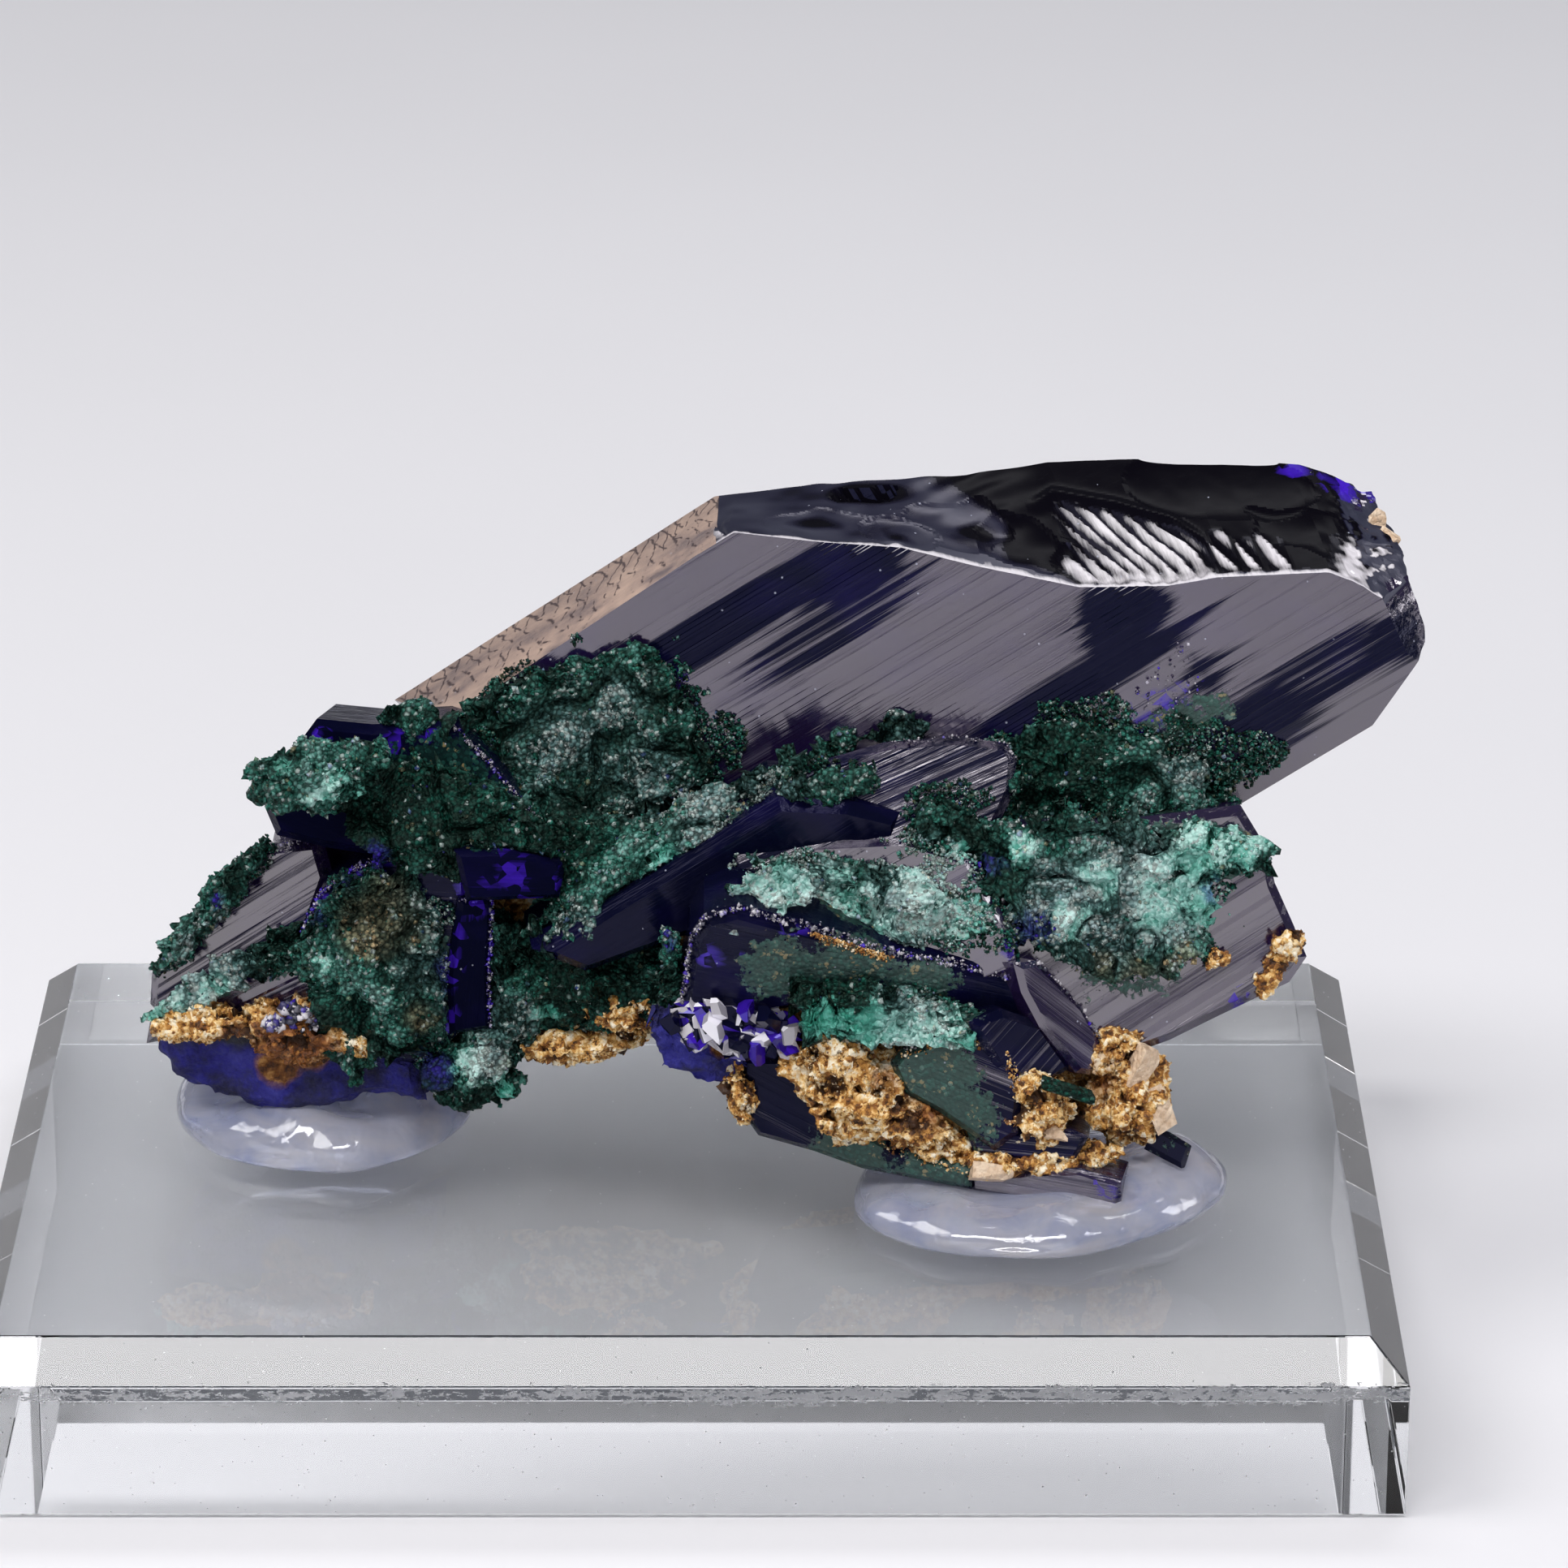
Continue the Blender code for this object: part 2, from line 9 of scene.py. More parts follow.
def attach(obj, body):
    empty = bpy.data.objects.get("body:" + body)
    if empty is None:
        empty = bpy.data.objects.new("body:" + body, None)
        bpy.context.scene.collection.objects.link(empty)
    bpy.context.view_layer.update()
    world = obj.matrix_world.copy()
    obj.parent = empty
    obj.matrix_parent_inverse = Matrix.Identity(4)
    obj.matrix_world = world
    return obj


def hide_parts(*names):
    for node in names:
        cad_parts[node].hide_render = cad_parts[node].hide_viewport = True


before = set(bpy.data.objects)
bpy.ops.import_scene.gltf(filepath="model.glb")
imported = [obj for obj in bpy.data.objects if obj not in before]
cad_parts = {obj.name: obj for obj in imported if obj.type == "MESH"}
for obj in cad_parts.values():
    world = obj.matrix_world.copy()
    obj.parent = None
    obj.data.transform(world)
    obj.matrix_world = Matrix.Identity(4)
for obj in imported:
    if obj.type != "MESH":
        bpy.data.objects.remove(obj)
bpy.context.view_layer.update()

mm = 0.001


# Small helpers for modelling

def deselect():
    for other in bpy.context.selected_objects:
        other.select_set(False)


def pick(obj):
    deselect()
    obj.select_set(True)
    bpy.context.view_layer.objects.active = obj


def edit(obj, mode="VERT"):
    pick(obj)
    bpy.ops.object.mode_set(mode="EDIT")
    bpy.ops.mesh.select_mode(type=mode)


def leaveEdit():
    bpy.ops.object.mode_set(mode="OBJECT")


def markEdges(obj, wanted):
    # selects the edges whose two ends lie at a wanted height, and stays in edit mode
    edit(obj, "EDGE")
    bpy.ops.mesh.select_all(action="DESELECT")
    leaveEdit()
    vertices = obj.data.vertices
    for edge in obj.data.edges:
        edge.select = all(wanted(vertices[i].co.z) for i in edge.vertices)
    bpy.ops.object.mode_set(mode="EDIT")


def faceOutwards():
    bpy.ops.mesh.select_all(action="SELECT")
    bpy.ops.mesh.normals_make_consistent(inside=False)
    leaveEdit()


def applyModifiers(obj):
    pick(obj)
    for modifier in list(obj.modifiers):
        bpy.ops.object.modifier_apply(modifier=modifier.name)


def join(name, parts):
    deselect()
    for part in parts:
        part.select_set(True)
    bpy.context.view_layer.objects.active = parts[0]
    if len(parts) > 1:
        bpy.ops.object.join()
    joined = bpy.context.object
    joined.name = name
    joined.data.name = name
    return joined


def applyPlace(obj):
    pick(obj)
    bpy.ops.object.transform_apply(location=True, rotation=True, scale=True)


def vectorsOf(items, kind):
    found = np.empty(len(items) * 3)
    items.foreach_get(kind, found)
    return found.reshape(-1, 3)


def points(obj):
    return vectorsOf(obj.data.vertices, "co")


def setPoints(obj, co):
    obj.data.vertices.foreach_set("co", np.asarray(co, dtype=np.float32).ravel())
    obj.data.update()


def normalsOf(obj):
    return vectorsOf(obj.data.vertices, "normal")


def setValues(obj, name, values, kind="FLOAT", domain="POINT"):
    values = np.asarray(values, dtype=np.float32)
    layer = obj.data.attributes.get(name) or obj.data.attributes.new(name, kind, domain)
    layer.data.foreach_set("value" if kind == "FLOAT" else "vector", values.ravel())


def softNoise(places, size, seed=0):
    # smooth random values from -1 to 1, with swells of one size in mm
    cell = np.asarray(places, dtype=float) / size + 13.7 * seed
    base = np.floor(cell).astype(np.int64)
    part = cell - base
    part = part * part * (3 - 2 * part)
    total = np.zeros(len(cell))
    for corner in range(8):
        step = np.array([corner & 1, corner >> 1 & 1, corner >> 2 & 1])
        at = base + step
        mixed = (at[:, 0] * 73856093) ^ (at[:, 1] * 19349663) ^ (at[:, 2] * 83492791)
        mixed = (mixed ^ (mixed >> 13)) * 1274126177
        value = ((mixed ^ (mixed >> 16)) & 65535) / 32767.5 - 1
        total += value * np.prod(np.where(step == 1, part, 1 - part), axis=1)
    return total


def roughNoise(places, size, seed=0):
    # the same with finer swells on top
    places = np.asarray(places, dtype=float)
    return (softNoise(places, size, seed) + 0.5 * softNoise(places, size / 2.1, seed + 1)
            + 0.25 * softNoise(places, size / 4.3, seed + 2)) / 1.3


def faceFrame(turn, lean, rise):
    # columns are along, across and out of a crystal's face, as in the part's source
    turn, lean, rise = (math.radians(angle) for angle in (turn, lean, rise))
    out = Vector((math.sin(turn) * math.cos(lean), -math.cos(turn) * math.cos(lean), math.sin(lean)))
    level = Vector((math.cos(turn), math.sin(turn), 0))
    up = out.cross(level)
    along = level * math.cos(rise) + up * math.sin(rise)
    across = up * math.cos(rise) - level * math.sin(rise)
    return Matrix((along, across, out)).transposed()


def planFrame(plan):
    return faceFrame(plan["turn"], plan["lean"], plan["rise"])


def onFace(plan, along, across, out):
    # a place given on a crystal's face, in the frame's axes, in mm
    return Vector(plan["at"]) + planFrame(plan) @ Vector((along, across, out))


def placeOnFace(obj, plan):
    turned = planFrame(plan).to_4x4()
    obj.matrix_world = Matrix.Translation(Vector(plan["at"]) * mm) @ turned @ Matrix.Scale(mm, 4)
    applyPlace(obj)


def finishPiece(obj, material, angle=None, node="azurite_specimen"):
    # angle is the sharpest one, in degrees, that is shaded smooth
    obj.data.materials.clear()
    obj.data.materials.append(material)
    if angle is not None:
        pick(obj)
        bpy.ops.object.shade_smooth_by_angle(angle=math.radians(angle))
    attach(obj, "root")
    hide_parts(node)


# Small helpers for materials

class Shader:
    def __init__(self, name, **sockets):
        self.material = bpy.data.materials.new(name)
        self.material.use_nodes = True
        self.nodes = self.material.node_tree.nodes
        self.links = self.material.node_tree.links
        self.main = self.nodes["Principled BSDF"]
        for socket, value in sockets.items():
            self.main.inputs[socket.replace("_", " ")].default_value = value

    def node(self, kind, **values):
        made = self.nodes.new(kind)
        for key, value in values.items():
            setattr(made, key, value)
        return made

    def feed(self, source, target):
        # a number, a colour or another socket, into a socket
        if isinstance(source, (int, float)):
            target.default_value = source
        elif isinstance(source, (tuple, list)):
            target.default_value = (*source, 1) if len(target.default_value) == 4 else source
        else:
            self.links.new(source, target)

    def math(self, operation, first, second=0.0, third=0.0, clamp=False):
        made = self.node("ShaderNodeMath", operation=operation, use_clamp=clamp)
        for source, target in zip((first, second, third), made.inputs):
            self.feed(source, target)
        return made.outputs[0]

    def times(self, first, second):
        return self.math("MULTIPLY", first, second)

    def scaled(self, pattern, factor, onto, clamp=False):
        # a pattern times a factor, added to another
        return self.math("MULTIPLY_ADD", pattern, factor, onto, clamp)

    def clamped(self, pattern, factor):
        return self.math("MULTIPLY", pattern, factor, clamp=True)

    def less(self, first, second):
        return self.math("SUBTRACT", first, second)

    def swing(self, pattern, amount, onto):
        # adds a pattern that is counted from its middle
        return self.scaled(self.less(pattern, 0.5), amount, onto)

    def axes(self, source=None):
        # the place along X, Y and Z
        parts = self.node("ShaderNodeSeparateXYZ")
        self.links.new(self.place(1, source), parts.inputs[0])
        return parts.outputs

    def mix(self, factor, first, second, blend="MIX"):
        made = self.node("ShaderNodeMix", data_type="RGBA", blend_type=blend)
        self.feed(factor, made.inputs[0])
        self.feed(first, made.inputs[6])
        self.feed(second, made.inputs[7])
        return made.outputs[2]

    def place(self, scale, source=None):
        # a pattern's place in millimetres: object coordinates, or a crystal's own lengthways ones
        scale = (scale,) * 3 if isinstance(scale, (int, float)) else scale
        mapping = self.node("ShaderNodeMapping")
        if source == "grain":
            read = self.node("ShaderNodeAttribute", attribute_name="grain").outputs["Vector"]
            mapping.inputs["Scale"].default_value = scale
        else:
            read = self.node("ShaderNodeTexCoord").outputs["Object"]
            mapping.inputs["Scale"].default_value = [1000 * part for part in scale]
        self.links.new(read, mapping.inputs["Vector"])
        return mapping.outputs[0]

    def noise(self, scale, detail=3, rough=0.5, source=None, warp=0.0):
        made = self.node("ShaderNodeTexNoise")
        self.links.new(self.place(scale, source), made.inputs["Vector"])
        made.inputs["Scale"].default_value = 1
        made.inputs["Detail"].default_value = detail
        made.inputs["Roughness"].default_value = rough
        made.inputs["Distortion"].default_value = warp
        return made.outputs[0]

    def cells(self, scale, output=0):
        made = self.node("ShaderNodeTexVoronoi")
        self.links.new(self.place(scale), made.inputs["Vector"])
        made.inputs["Scale"].default_value = 1
        return made.outputs[output]

    def ramp(self, source, stops):
        made = self.node("ShaderNodeValToRGB")
        self.links.new(source, made.inputs[0])
        ramp = made.color_ramp
        while len(ramp.elements) < len(stops):
            ramp.elements.new(0.5)
        for element, (position, colour) in zip(ramp.elements, stops):
            element.position = position
            element.color = (colour,) * 3 + (1,) if isinstance(colour, (int, float)) else (*colour, 1)
        return made.outputs[0]

    def value(self, name):
        return self.node("ShaderNodeAttribute", attribute_name=name).outputs["Fac"]

    def bump(self, height, distance, strength=1.0, under=None):
        made = self.node("ShaderNodeBump")
        made.inputs["Strength"].default_value = strength
        made.inputs["Distance"].default_value = distance
        self.links.new(height, made.inputs["Height"])
        if under is not None:
            self.links.new(under, made.inputs["Normal"])
        return made.outputs[0]

    def set(self, socket, source):
        self.feed(source, self.main.inputs[socket])


# Camera, lights and floor

photo = {
    "size": 1932,  # pixels each way
    "lens": 158.72,
    "sensor": 36.0,
    "down": 23.2,  # degrees
    "distance": 375.7,  # to the point looked at, in mm
    "target": (5.32, 0.0, 31.07),
}


def setCamera():
    camera = bpy.data.objects.new("camera", bpy.data.cameras.new("camera"))
    bpy.context.scene.collection.objects.link(camera)
    camera.data.sensor_width = photo["sensor"]
    camera.data.lens = photo["lens"]
    camera.data.clip_start = 0.01
    down = math.radians(photo["down"])
    ahead = Vector((0, math.cos(down), -math.sin(down)))
    camera.location = (Vector(photo["target"]) - ahead * photo["distance"]) * mm
    camera.rotation_euler = (math.pi / 2 - down, 0, 0)
    bpy.context.scene.camera = camera


studio = {
    "floor": 3.0,
    "floorColour": (0.78, 0.775, 0.80),
    "world": ((0.50, 0.53, 0.62), 0.16),
    "aim": (0.005, 0, 0.03),
    # name: place, size, power, colour; each faces the specimen
    "boxes": {
        "high left": ((-0.34, -0.10, 0.46), (0.30, 0.30), 1.5, (1.0, 0.985, 0.965)),
        "right side": ((0.46, -0.04, 0.30), (0.14, 0.30), 0.7, (0.97, 0.97, 1.0)),
        "back": ((0.04, 0.24, 0.52), (0.46, 0.14), 0.9, (0.98, 0.98, 1.0)),
        "over the front": ((0.0, -0.265, 0.46), (0.34, 0.08), 1.3, (1.0, 0.985, 0.99)),
        "front": ((-0.06, -0.66, 0.22), (1.20, 0.36), 1.5, (1.0, 0.99, 1.0)),
    },
}


def lightStudio():
    deselect()
    bpy.ops.mesh.primitive_plane_add(size=studio["floor"], location=(0, 0, -0.0002))
    floor = bpy.context.object
    floor.name = "floor"
    plain = Shader("pale floor", Roughness=0.85)
    shade = plain.ramp(plain.noise(0.01, 4), ((0.3, 0.97), (0.7, 1.0)))
    plain.set("Base Color", plain.mix(1.0, studio["floorColour"], shade, "MULTIPLY"))
    floor.data.materials.append(plain.material)

    world = bpy.data.worlds.new("studio")
    bpy.context.scene.world = world
    world.use_nodes = True
    colour, strength = studio["world"]
    world.node_tree.nodes["Background"].inputs[0].default_value = (*colour, 1)
    world.node_tree.nodes["Background"].inputs[1].default_value = strength

    for name, (place, size, power, colour) in studio["boxes"].items():
        light = bpy.data.lights.new(name, "AREA")
        light.shape = "RECTANGLE"
        light.size, light.size_y = size
        light.energy = power
        light.color = colour
        lamp = bpy.data.objects.new(name, light)
        bpy.context.scene.collection.objects.link(lamp)
        lamp.location = place
        aim = Vector(studio["aim"]) - Vector(place)
        lamp.rotation_euler = aim.to_track_quat("-Z", "Y").to_euler()


setCamera()
lightStudio()
bpy.context.scene.view_settings.view_transform = "Standard"
print("camera and studio set")


# Materials. Attributes painted on the meshes steer them: shade is painted shade that darkens a crystal's
# colour and its reflection, glow is violet light inside it, film a green bloom, frost a silvery broken
# surface, partly painted sheen.

def grainPattern(look, size):
    # packed grains: a random value for each one, and how far the place is from its middle
    return look.cells(size, output=1), look.cells(size)


def azuriteMaterial(name, mirror):
    look = Shader(name, IOR=2.0, Specular_IOR_Level=mirror)
    streaks = look.noise((0.022, 2.3, 2.3), 5, 0.62, "grain")
    fine = look.noise((0.06, 12.0, 12.0), 3, 0.6, "grain")
    broken = look.value("broken")
    whole = look.less(1.0, broken)
    # painted shade: where shade and the streaks are high, the colour is darkened and the reflection dimmed,
    # standing in for dark reflections
    combed = look.swing(streaks, 1.5, look.value("shade"))
    combed = look.swing(fine, 0.55, combed)
    dark = look.ramp(combed, ((0.38, 0.0), (0.60, 1.0)))
    dark = look.times(dark, whole)
    dark = look.scaled(broken, 0.80, dark)

    body = look.mix(dark, (0.011, 0.0055, 0.030), (0.002, 0.0025, 0.013))
    steel = look.times(broken, look.ramp(look.value("shade"), ((0.15, 1.0), (0.75, 0.0))))
    body = look.mix(steel, body, (0.030, 0.032, 0.052))
    # painted shade: the blackest part of the break gets a near-black colour and reflection
    black = look.times(broken, look.ramp(look.value("shade"), ((0.6, 0.0), (0.95, 1.0))))
    body = look.mix(black, body, (0.0028, 0.0024, 0.0045))
    clouds = look.ramp(look.noise((0.16, 0.3, 0.3), 3, 0.5), ((0.50, 0.0), (0.74, 1.0)))
    clouds = look.times(look.times(clouds, 0.14), whole)
    body = look.mix(clouds, body, (0.018, 0.007, 0.15))
    # violet light shows in some of the inner facets
    facets = look.cells(1.5, output=1)
    lit = look.swing(facets, 0.7, look.value("glow"))
    lit = look.swing(streaks, 0.6, lit)
    glow = look.ramp(lit, ((0.50, 0.0), (0.66, 0.55), (1.0, 1.0)))
    body = look.mix(glow, body, look.mix(facets, (0.012, 0.003, 0.13), (0.050, 0.012, 0.46)))

    # green bloom, ragged at its edge
    tone, edge = grainPattern(look, 4.4)
    ragged = look.scaled(look.noise(1.3, 5, 0.7), 1.1, look.value("film"))
    ragged = look.swing(tone, 0.22, ragged)
    film = look.ramp(look.less(ragged, 0.5), ((0.53, 0.0), (0.60, 1.0)))
    mottled = look.scaled(look.noise(0.9, 4, 0.65), 0.9, look.times(tone, 0.4))
    green = look.ramp(mottled, ((0.44, (0.002, 0.010, 0.010)), (0.64, (0.004, 0.024, 0.021)),
                      (0.80, (0.012, 0.060, 0.048)), (0.95, (0.10, 0.15, 0.13))))
    flecks = look.scaled(tone, 0.25, look.noise(1.1, 4, 0.7))
    flecks = look.ramp(flecks, ((0.74, 0.0), (0.80, 0.7)))
    green = look.mix(flecks, green, (0.26, 0.17, 0.07))
    # painted shade in the gaps between the bloom's grains
    green = look.mix(look.math("GREATER_THAN", edge, 0.58), green, (0.002, 0.010, 0.010))
    body = look.mix(film, body, green)

    # silvery fibres and splinters on the break, their silver painted as pale grey sheen
    torn = look.scaled(look.noise((6.0, 0.5, 1.1), 4, 0.65, "grain"), 1.3, 0.30)
    torn = look.times(torn, look.value("frostAndSheen"))
    frostAndSheen = look.times(look.ramp(torn, ((0.30, 0.0), (0.55, 0.45), (0.98, 1.0))), broken)
    body = look.mix(frostAndSheen, body, (0.60, 0.57, 0.61))
    # painted reflection: the brightest splinters are painted near white
    body = look.mix(look.math("GREATER_THAN", look.value("frostAndSheen"), 1.5), body, (0.90, 0.88, 0.95))

    # tan crust on the long side, crossed by short dark cracks that crowd towards the back
    stain = look.value("stain")
    axes = look.axes("grain")
    along, depth = axes["X"], axes["Z"]
    wandering = look.scaled(look.noise(0.30, 3, 0.6, "grain"), 2.2, along)
    crowd = look.scaled(depth, -0.030, -0.11)
    cracks = 0.0
    # two sets of cracks: how they slant, half their spacing, their width, the size of their patches
    for slope, spacing, width, patch in ((-0.39, 0.55, 0.13, 0.8), (0.16, 0.42, 0.08, 1.1)):
        away = look.math("PINGPONG", look.scaled(depth, slope, wandering), spacing)
        here = look.ramp(look.math("ADD", crowd, look.noise(patch, 3, 0.6, "grain")),
                         ((0.48, 0.0), (0.54, 1.0)))
        crack = look.times(look.ramp(away, ((width * 0.35, 1.0), (width, 0.0))), here)
        cracks = look.math("MAXIMUM", crack, cracks)
    tan = look.ramp(look.noise((0.25, 0.45, 0.45), 4, 0.6), ((0.32, (0.16, 0.125, 0.13)),
                    (0.50, (0.42, 0.30, 0.25)), (0.70, (0.64, 0.46, 0.36))))
    tan = look.mix(look.clamped(depth, -0.07), tan, (0.25, 0.18, 0.15))
    tan = look.mix(look.times(cracks, 0.92), tan, (0.05, 0.03, 0.03))
    body = look.mix(stain, body, tan)

    dust = look.math("LESS_THAN", look.cells(1.25), 0.075)
    specks = look.times(dust, look.math("GREATER_THAN", look.noise(0.6, 2), 0.55))
    look.set("Base Color", look.mix(look.times(specks, 0.6), body, (0.40, 0.42, 0.52)))

    # painted reflection: the Specular Tint is dimmed where the painted shade is dark, nearly black on the
    # black part of the break, violet where the violet light is
    shine = look.mix(dark, (1.0, 0.95, 0.99), (0.06, 0.06, 0.10))
    shine = look.mix(black, shine, (0.015, 0.015, 0.03))
    shine = look.mix(glow, shine, (0.25, 0.25, 0.50))
    shine = look.mix(look.math("MAXIMUM", frostAndSheen, stain), shine, (0.8, 0.8, 0.8))
    look.set("Specular Tint", look.mix(film, shine, (0.35, 0.5, 0.45)))
    rough = look.scaled(streaks, 0.16, 0.015)
    rough = look.scaled(film, 0.42, rough)
    rough = look.scaled(broken, 0.16, rough)
    rough = look.scaled(steel, 0.14, rough)
    rough = look.scaled(look.math("MAXIMUM", frostAndSheen, stain), 0.22, rough)
    look.set("Roughness", look.scaled(specks, 0.4, rough, clamp=True))

    furrows = look.times(look.scaled(dark, 0.3, 0.25), whole)
    under = look.bump(look.times(streaks, furrows), 0.00012, 0.5)
    under = look.bump(look.times(fine, furrows), 0.00003, 0.45, under)
    under = look.bump(look.times(edge, look.times(film, -1.0)), 0.00008, 0.5, under)
    grit = look.times(look.noise(5, 3, 0.7), look.times(stain, 0.4))
    look.set("Normal", look.bump(grit, 0.00014, 0.7, under))
    return look.material


def malachiteMaterial():
    # packed sparkling grains in emerald, with painted ash-grey glints, dark gaps of painted shade and mint
    # patches
    look = Shader("malachite", IOR=1.8)
    tone, edge = grainPattern(look, 4.0)
    patch = look.noise(0.34, 4, 0.6)
    fine = look.noise(2.4, 4, 0.65)
    shade = look.scaled(look.value("tint"), 0.55, look.scaled(patch, 0.95, -0.42))
    shade = look.scaled(fine, 0.40, shade)
    shade = look.swing(tone, 0.55, shade)
    body = look.ramp(shade, ((0.16, (0.0006, 0.007, 0.005)), (0.38, (0.0015, 0.032, 0.022)),
                             (0.56, (0.006, 0.088, 0.060)), (0.76, (0.034, 0.19, 0.145)),
                             (0.96, (0.16, 0.36, 0.31))))
    ash = look.ramp(shade, ((0.14, (0.006, 0.020, 0.020)), (0.34, (0.045, 0.105, 0.105)),
                            (0.54, (0.16, 0.26, 0.265)), (0.84, (0.48, 0.60, 0.62))))
    body = look.mix(look.clamped(look.value("grey"), 1.15), body, ash)
    pale = look.scaled(fine, 1.0, look.scaled(tone, 0.5, look.value("pale")))
    pale = look.ramp(look.less(pale, 0.75), ((0.32, 0.0), (0.62, 1.0)))
    mint = look.ramp(shade, ((0.2, (0.03, 0.24, 0.17)), (0.5, (0.14, 0.48, 0.39)),
                             (0.85, (0.50, 0.80, 0.72))))
    chalk = look.ramp(shade, ((0.2, (0.10, 0.24, 0.22)), (0.5, (0.34, 0.50, 0.48)),
                              (0.85, (0.66, 0.80, 0.79))))
    mint = look.mix(look.times(look.value("grey"), 0.8), mint, chalk)
    body = look.mix(pale, body, mint)
    tan = look.ramp(shade, ((0.2, (0.07, 0.055, 0.03)), (0.5, (0.30, 0.22, 0.12)),
                            (0.9, (0.66, 0.50, 0.28))))
    body = look.mix(look.value("brown"), body, tan)
    body = look.mix(look.value("glow"), body, (0.035, 0.010, 0.30))
    # painted glints: some grains are painted pale grey, with a brighter, sharper reflection, and fewer of
    # them in the hollows
    paintedGlint = look.ramp(look.scaled(look.value("grey"), 0.42, tone), ((0.84, 0.0), (0.88, 1.0)))
    paintedGlint = look.times(paintedGlint, look.ramp(look.value("hollow"), ((0.3, 1.0), (0.7, 0.0))))
    body = look.mix(paintedGlint, body, look.mix(tone, (0.13, 0.19, 0.17), (0.36, 0.44, 0.41)))
    # painted shade in the gaps between grains, left out on the pale patches
    gapShade = look.ramp(edge, ((0.40, 1.0), (0.66, 0.22)))
    gapShade = look.mix(look.value("pale"), gapShade, (1, 1, 1))
    body = look.mix(1.0, body, gapShade, "MULTIPLY")
    look.set("Base Color", body)
    look.set("Specular Tint", look.mix(paintedGlint, (0.16, 0.30, 0.24), (1, 1, 1)))
    look.set("Roughness", look.scaled(paintedGlint, -0.34, 0.52))
    under = look.bump(look.times(edge, -1.0), 0.00022, 0.9)
    look.set("Normal", look.bump(look.noise(8, 3, 0.6), 0.00006, 0.5, under))
    return look.material


def limoniteMaterial():
    # spongy ochre: gold on the crumbs, brown in the pores, with painted light and shade: the colour follows
    # the pores' bump, lighter where it rises, dark brown where it sinks and in sunk hollows
    look = Shader("limonite", IOR=1.5)
    tone, edge = grainPattern(look, 3.2)
    patch = look.noise(0.55, 5, 0.65)
    pores = look.noise(2.1, 4, 0.7)
    shade = look.scaled(look.value("tint"), 0.45, look.scaled(patch, 1.0, -0.30))
    shade = look.swing(tone, 0.42, shade)
    shade = look.swing(pores, 0.95, shade)
    body = look.ramp(shade, ((0.16, (0.045, 0.015, 0.004)), (0.33, (0.25, 0.088, 0.014)),
                             (0.46, (0.58, 0.28, 0.055)), (0.58, (0.88, 0.61, 0.26)),
                             (0.73, (1.0, 0.90, 0.70))))
    rust = look.ramp(shade, ((0.2, (0.040, 0.011, 0.003)), (0.55, (0.24, 0.075, 0.012)),
                             (0.9, (0.58, 0.27, 0.06))))
    body = look.mix(look.value("brown"), body, rust)
    # painted shade: pits in the pore pattern and sunk hollows are painted dark brown
    pit = look.ramp(pores, ((0.36, 1.0), (0.43, 0.0)))
    hole = look.math("MAXIMUM", look.value("hollow"), look.times(pit, 0.85))
    body = look.mix(hole, body, (0.045, 0.018, 0.006))
    cream = look.ramp(shade, ((0.2, (0.56, 0.38, 0.24)), (0.8, (0.88, 0.70, 0.52))))
    look.set("Base Color", look.mix(look.value("pale"), body, cream))
    look.set("Roughness", look.ramp(look.noise(3, 2), ((0.3, 0.42), (0.7, 0.85))))
    under = look.bump(look.times(edge, -1.0), 0.00016, 0.7)
    look.set("Normal", look.bump(pores, 0.00022, 0.8, under))
    return look.material


def blueEarthMaterial():
    # powdery azurite under the left end
    look = Shader("blue earth", IOR=1.5)
    patch = look.noise(0.42, 5, 0.65)
    body = look.ramp(patch, ((0.30, (0.010, 0.010, 0.030)), (0.45, (0.017, 0.017, 0.11)),
                             (0.56, (0.020, 0.019, 0.24)), (0.76, (0.050, 0.050, 0.34))))
    uneven = look.scaled(patch, 0.8, -0.4)
    dull = look.ramp(look.math("ADD", look.value("brown"), uneven), ((0.3, 0.0), (0.6, 1.0)))
    body = look.mix(dull, body, (0.030, 0.032, 0.048))
    rust = look.ramp(look.noise(1.6, 4, 0.65), ((0.35, (0.035, 0.010, 0.003)),
                     (0.52, (0.22, 0.075, 0.012)), (0.68, (0.52, 0.26, 0.07))))
    rusty = look.ramp(look.math("ADD", look.value("tint"), uneven), ((0.35, 0.0), (0.6, 1.0)))
    body = look.mix(rusty, body, rust)
    look.set("Base Color", look.mix(look.value("pale"), body, (0.50, 0.40, 0.34)))
    look.set("Roughness", look.ramp(look.noise(3, 2), ((0.3, 0.70), (0.7, 0.95))))
    edge = grainPattern(look, 3.4)[1]
    under = look.bump(look.times(edge, -1.0), 0.00016, 0.8)
    look.set("Normal", look.bump(look.noise(4.5, 4, 0.7), 0.00022, 0.9, under))
    return look.material


def glueMaterial():
    look = Shader("set glue", Transmission_Weight=0.68, IOR=1.47, Coat_Weight=1.0, Coat_Roughness=0.02)
    milk = look.noise((0.20, 0.20, 0.55), 4, 0.55, warp=0.8)
    look.set("Base Color", look.ramp(milk, ((0.32, (0.56, 0.62, 0.90)), (0.50, (0.82, 0.84, 0.99)),
                                            (0.68, (0.95, 0.93, 0.99)))))
    look.set("Roughness", look.ramp(look.noise(0.8, 3), ((0.4, 0.01), (0.7, 0.05))))
    look.set("Normal", look.bump(look.noise(0.45, 2, warp=0.6), 0.00045, 0.5))
    return look.material


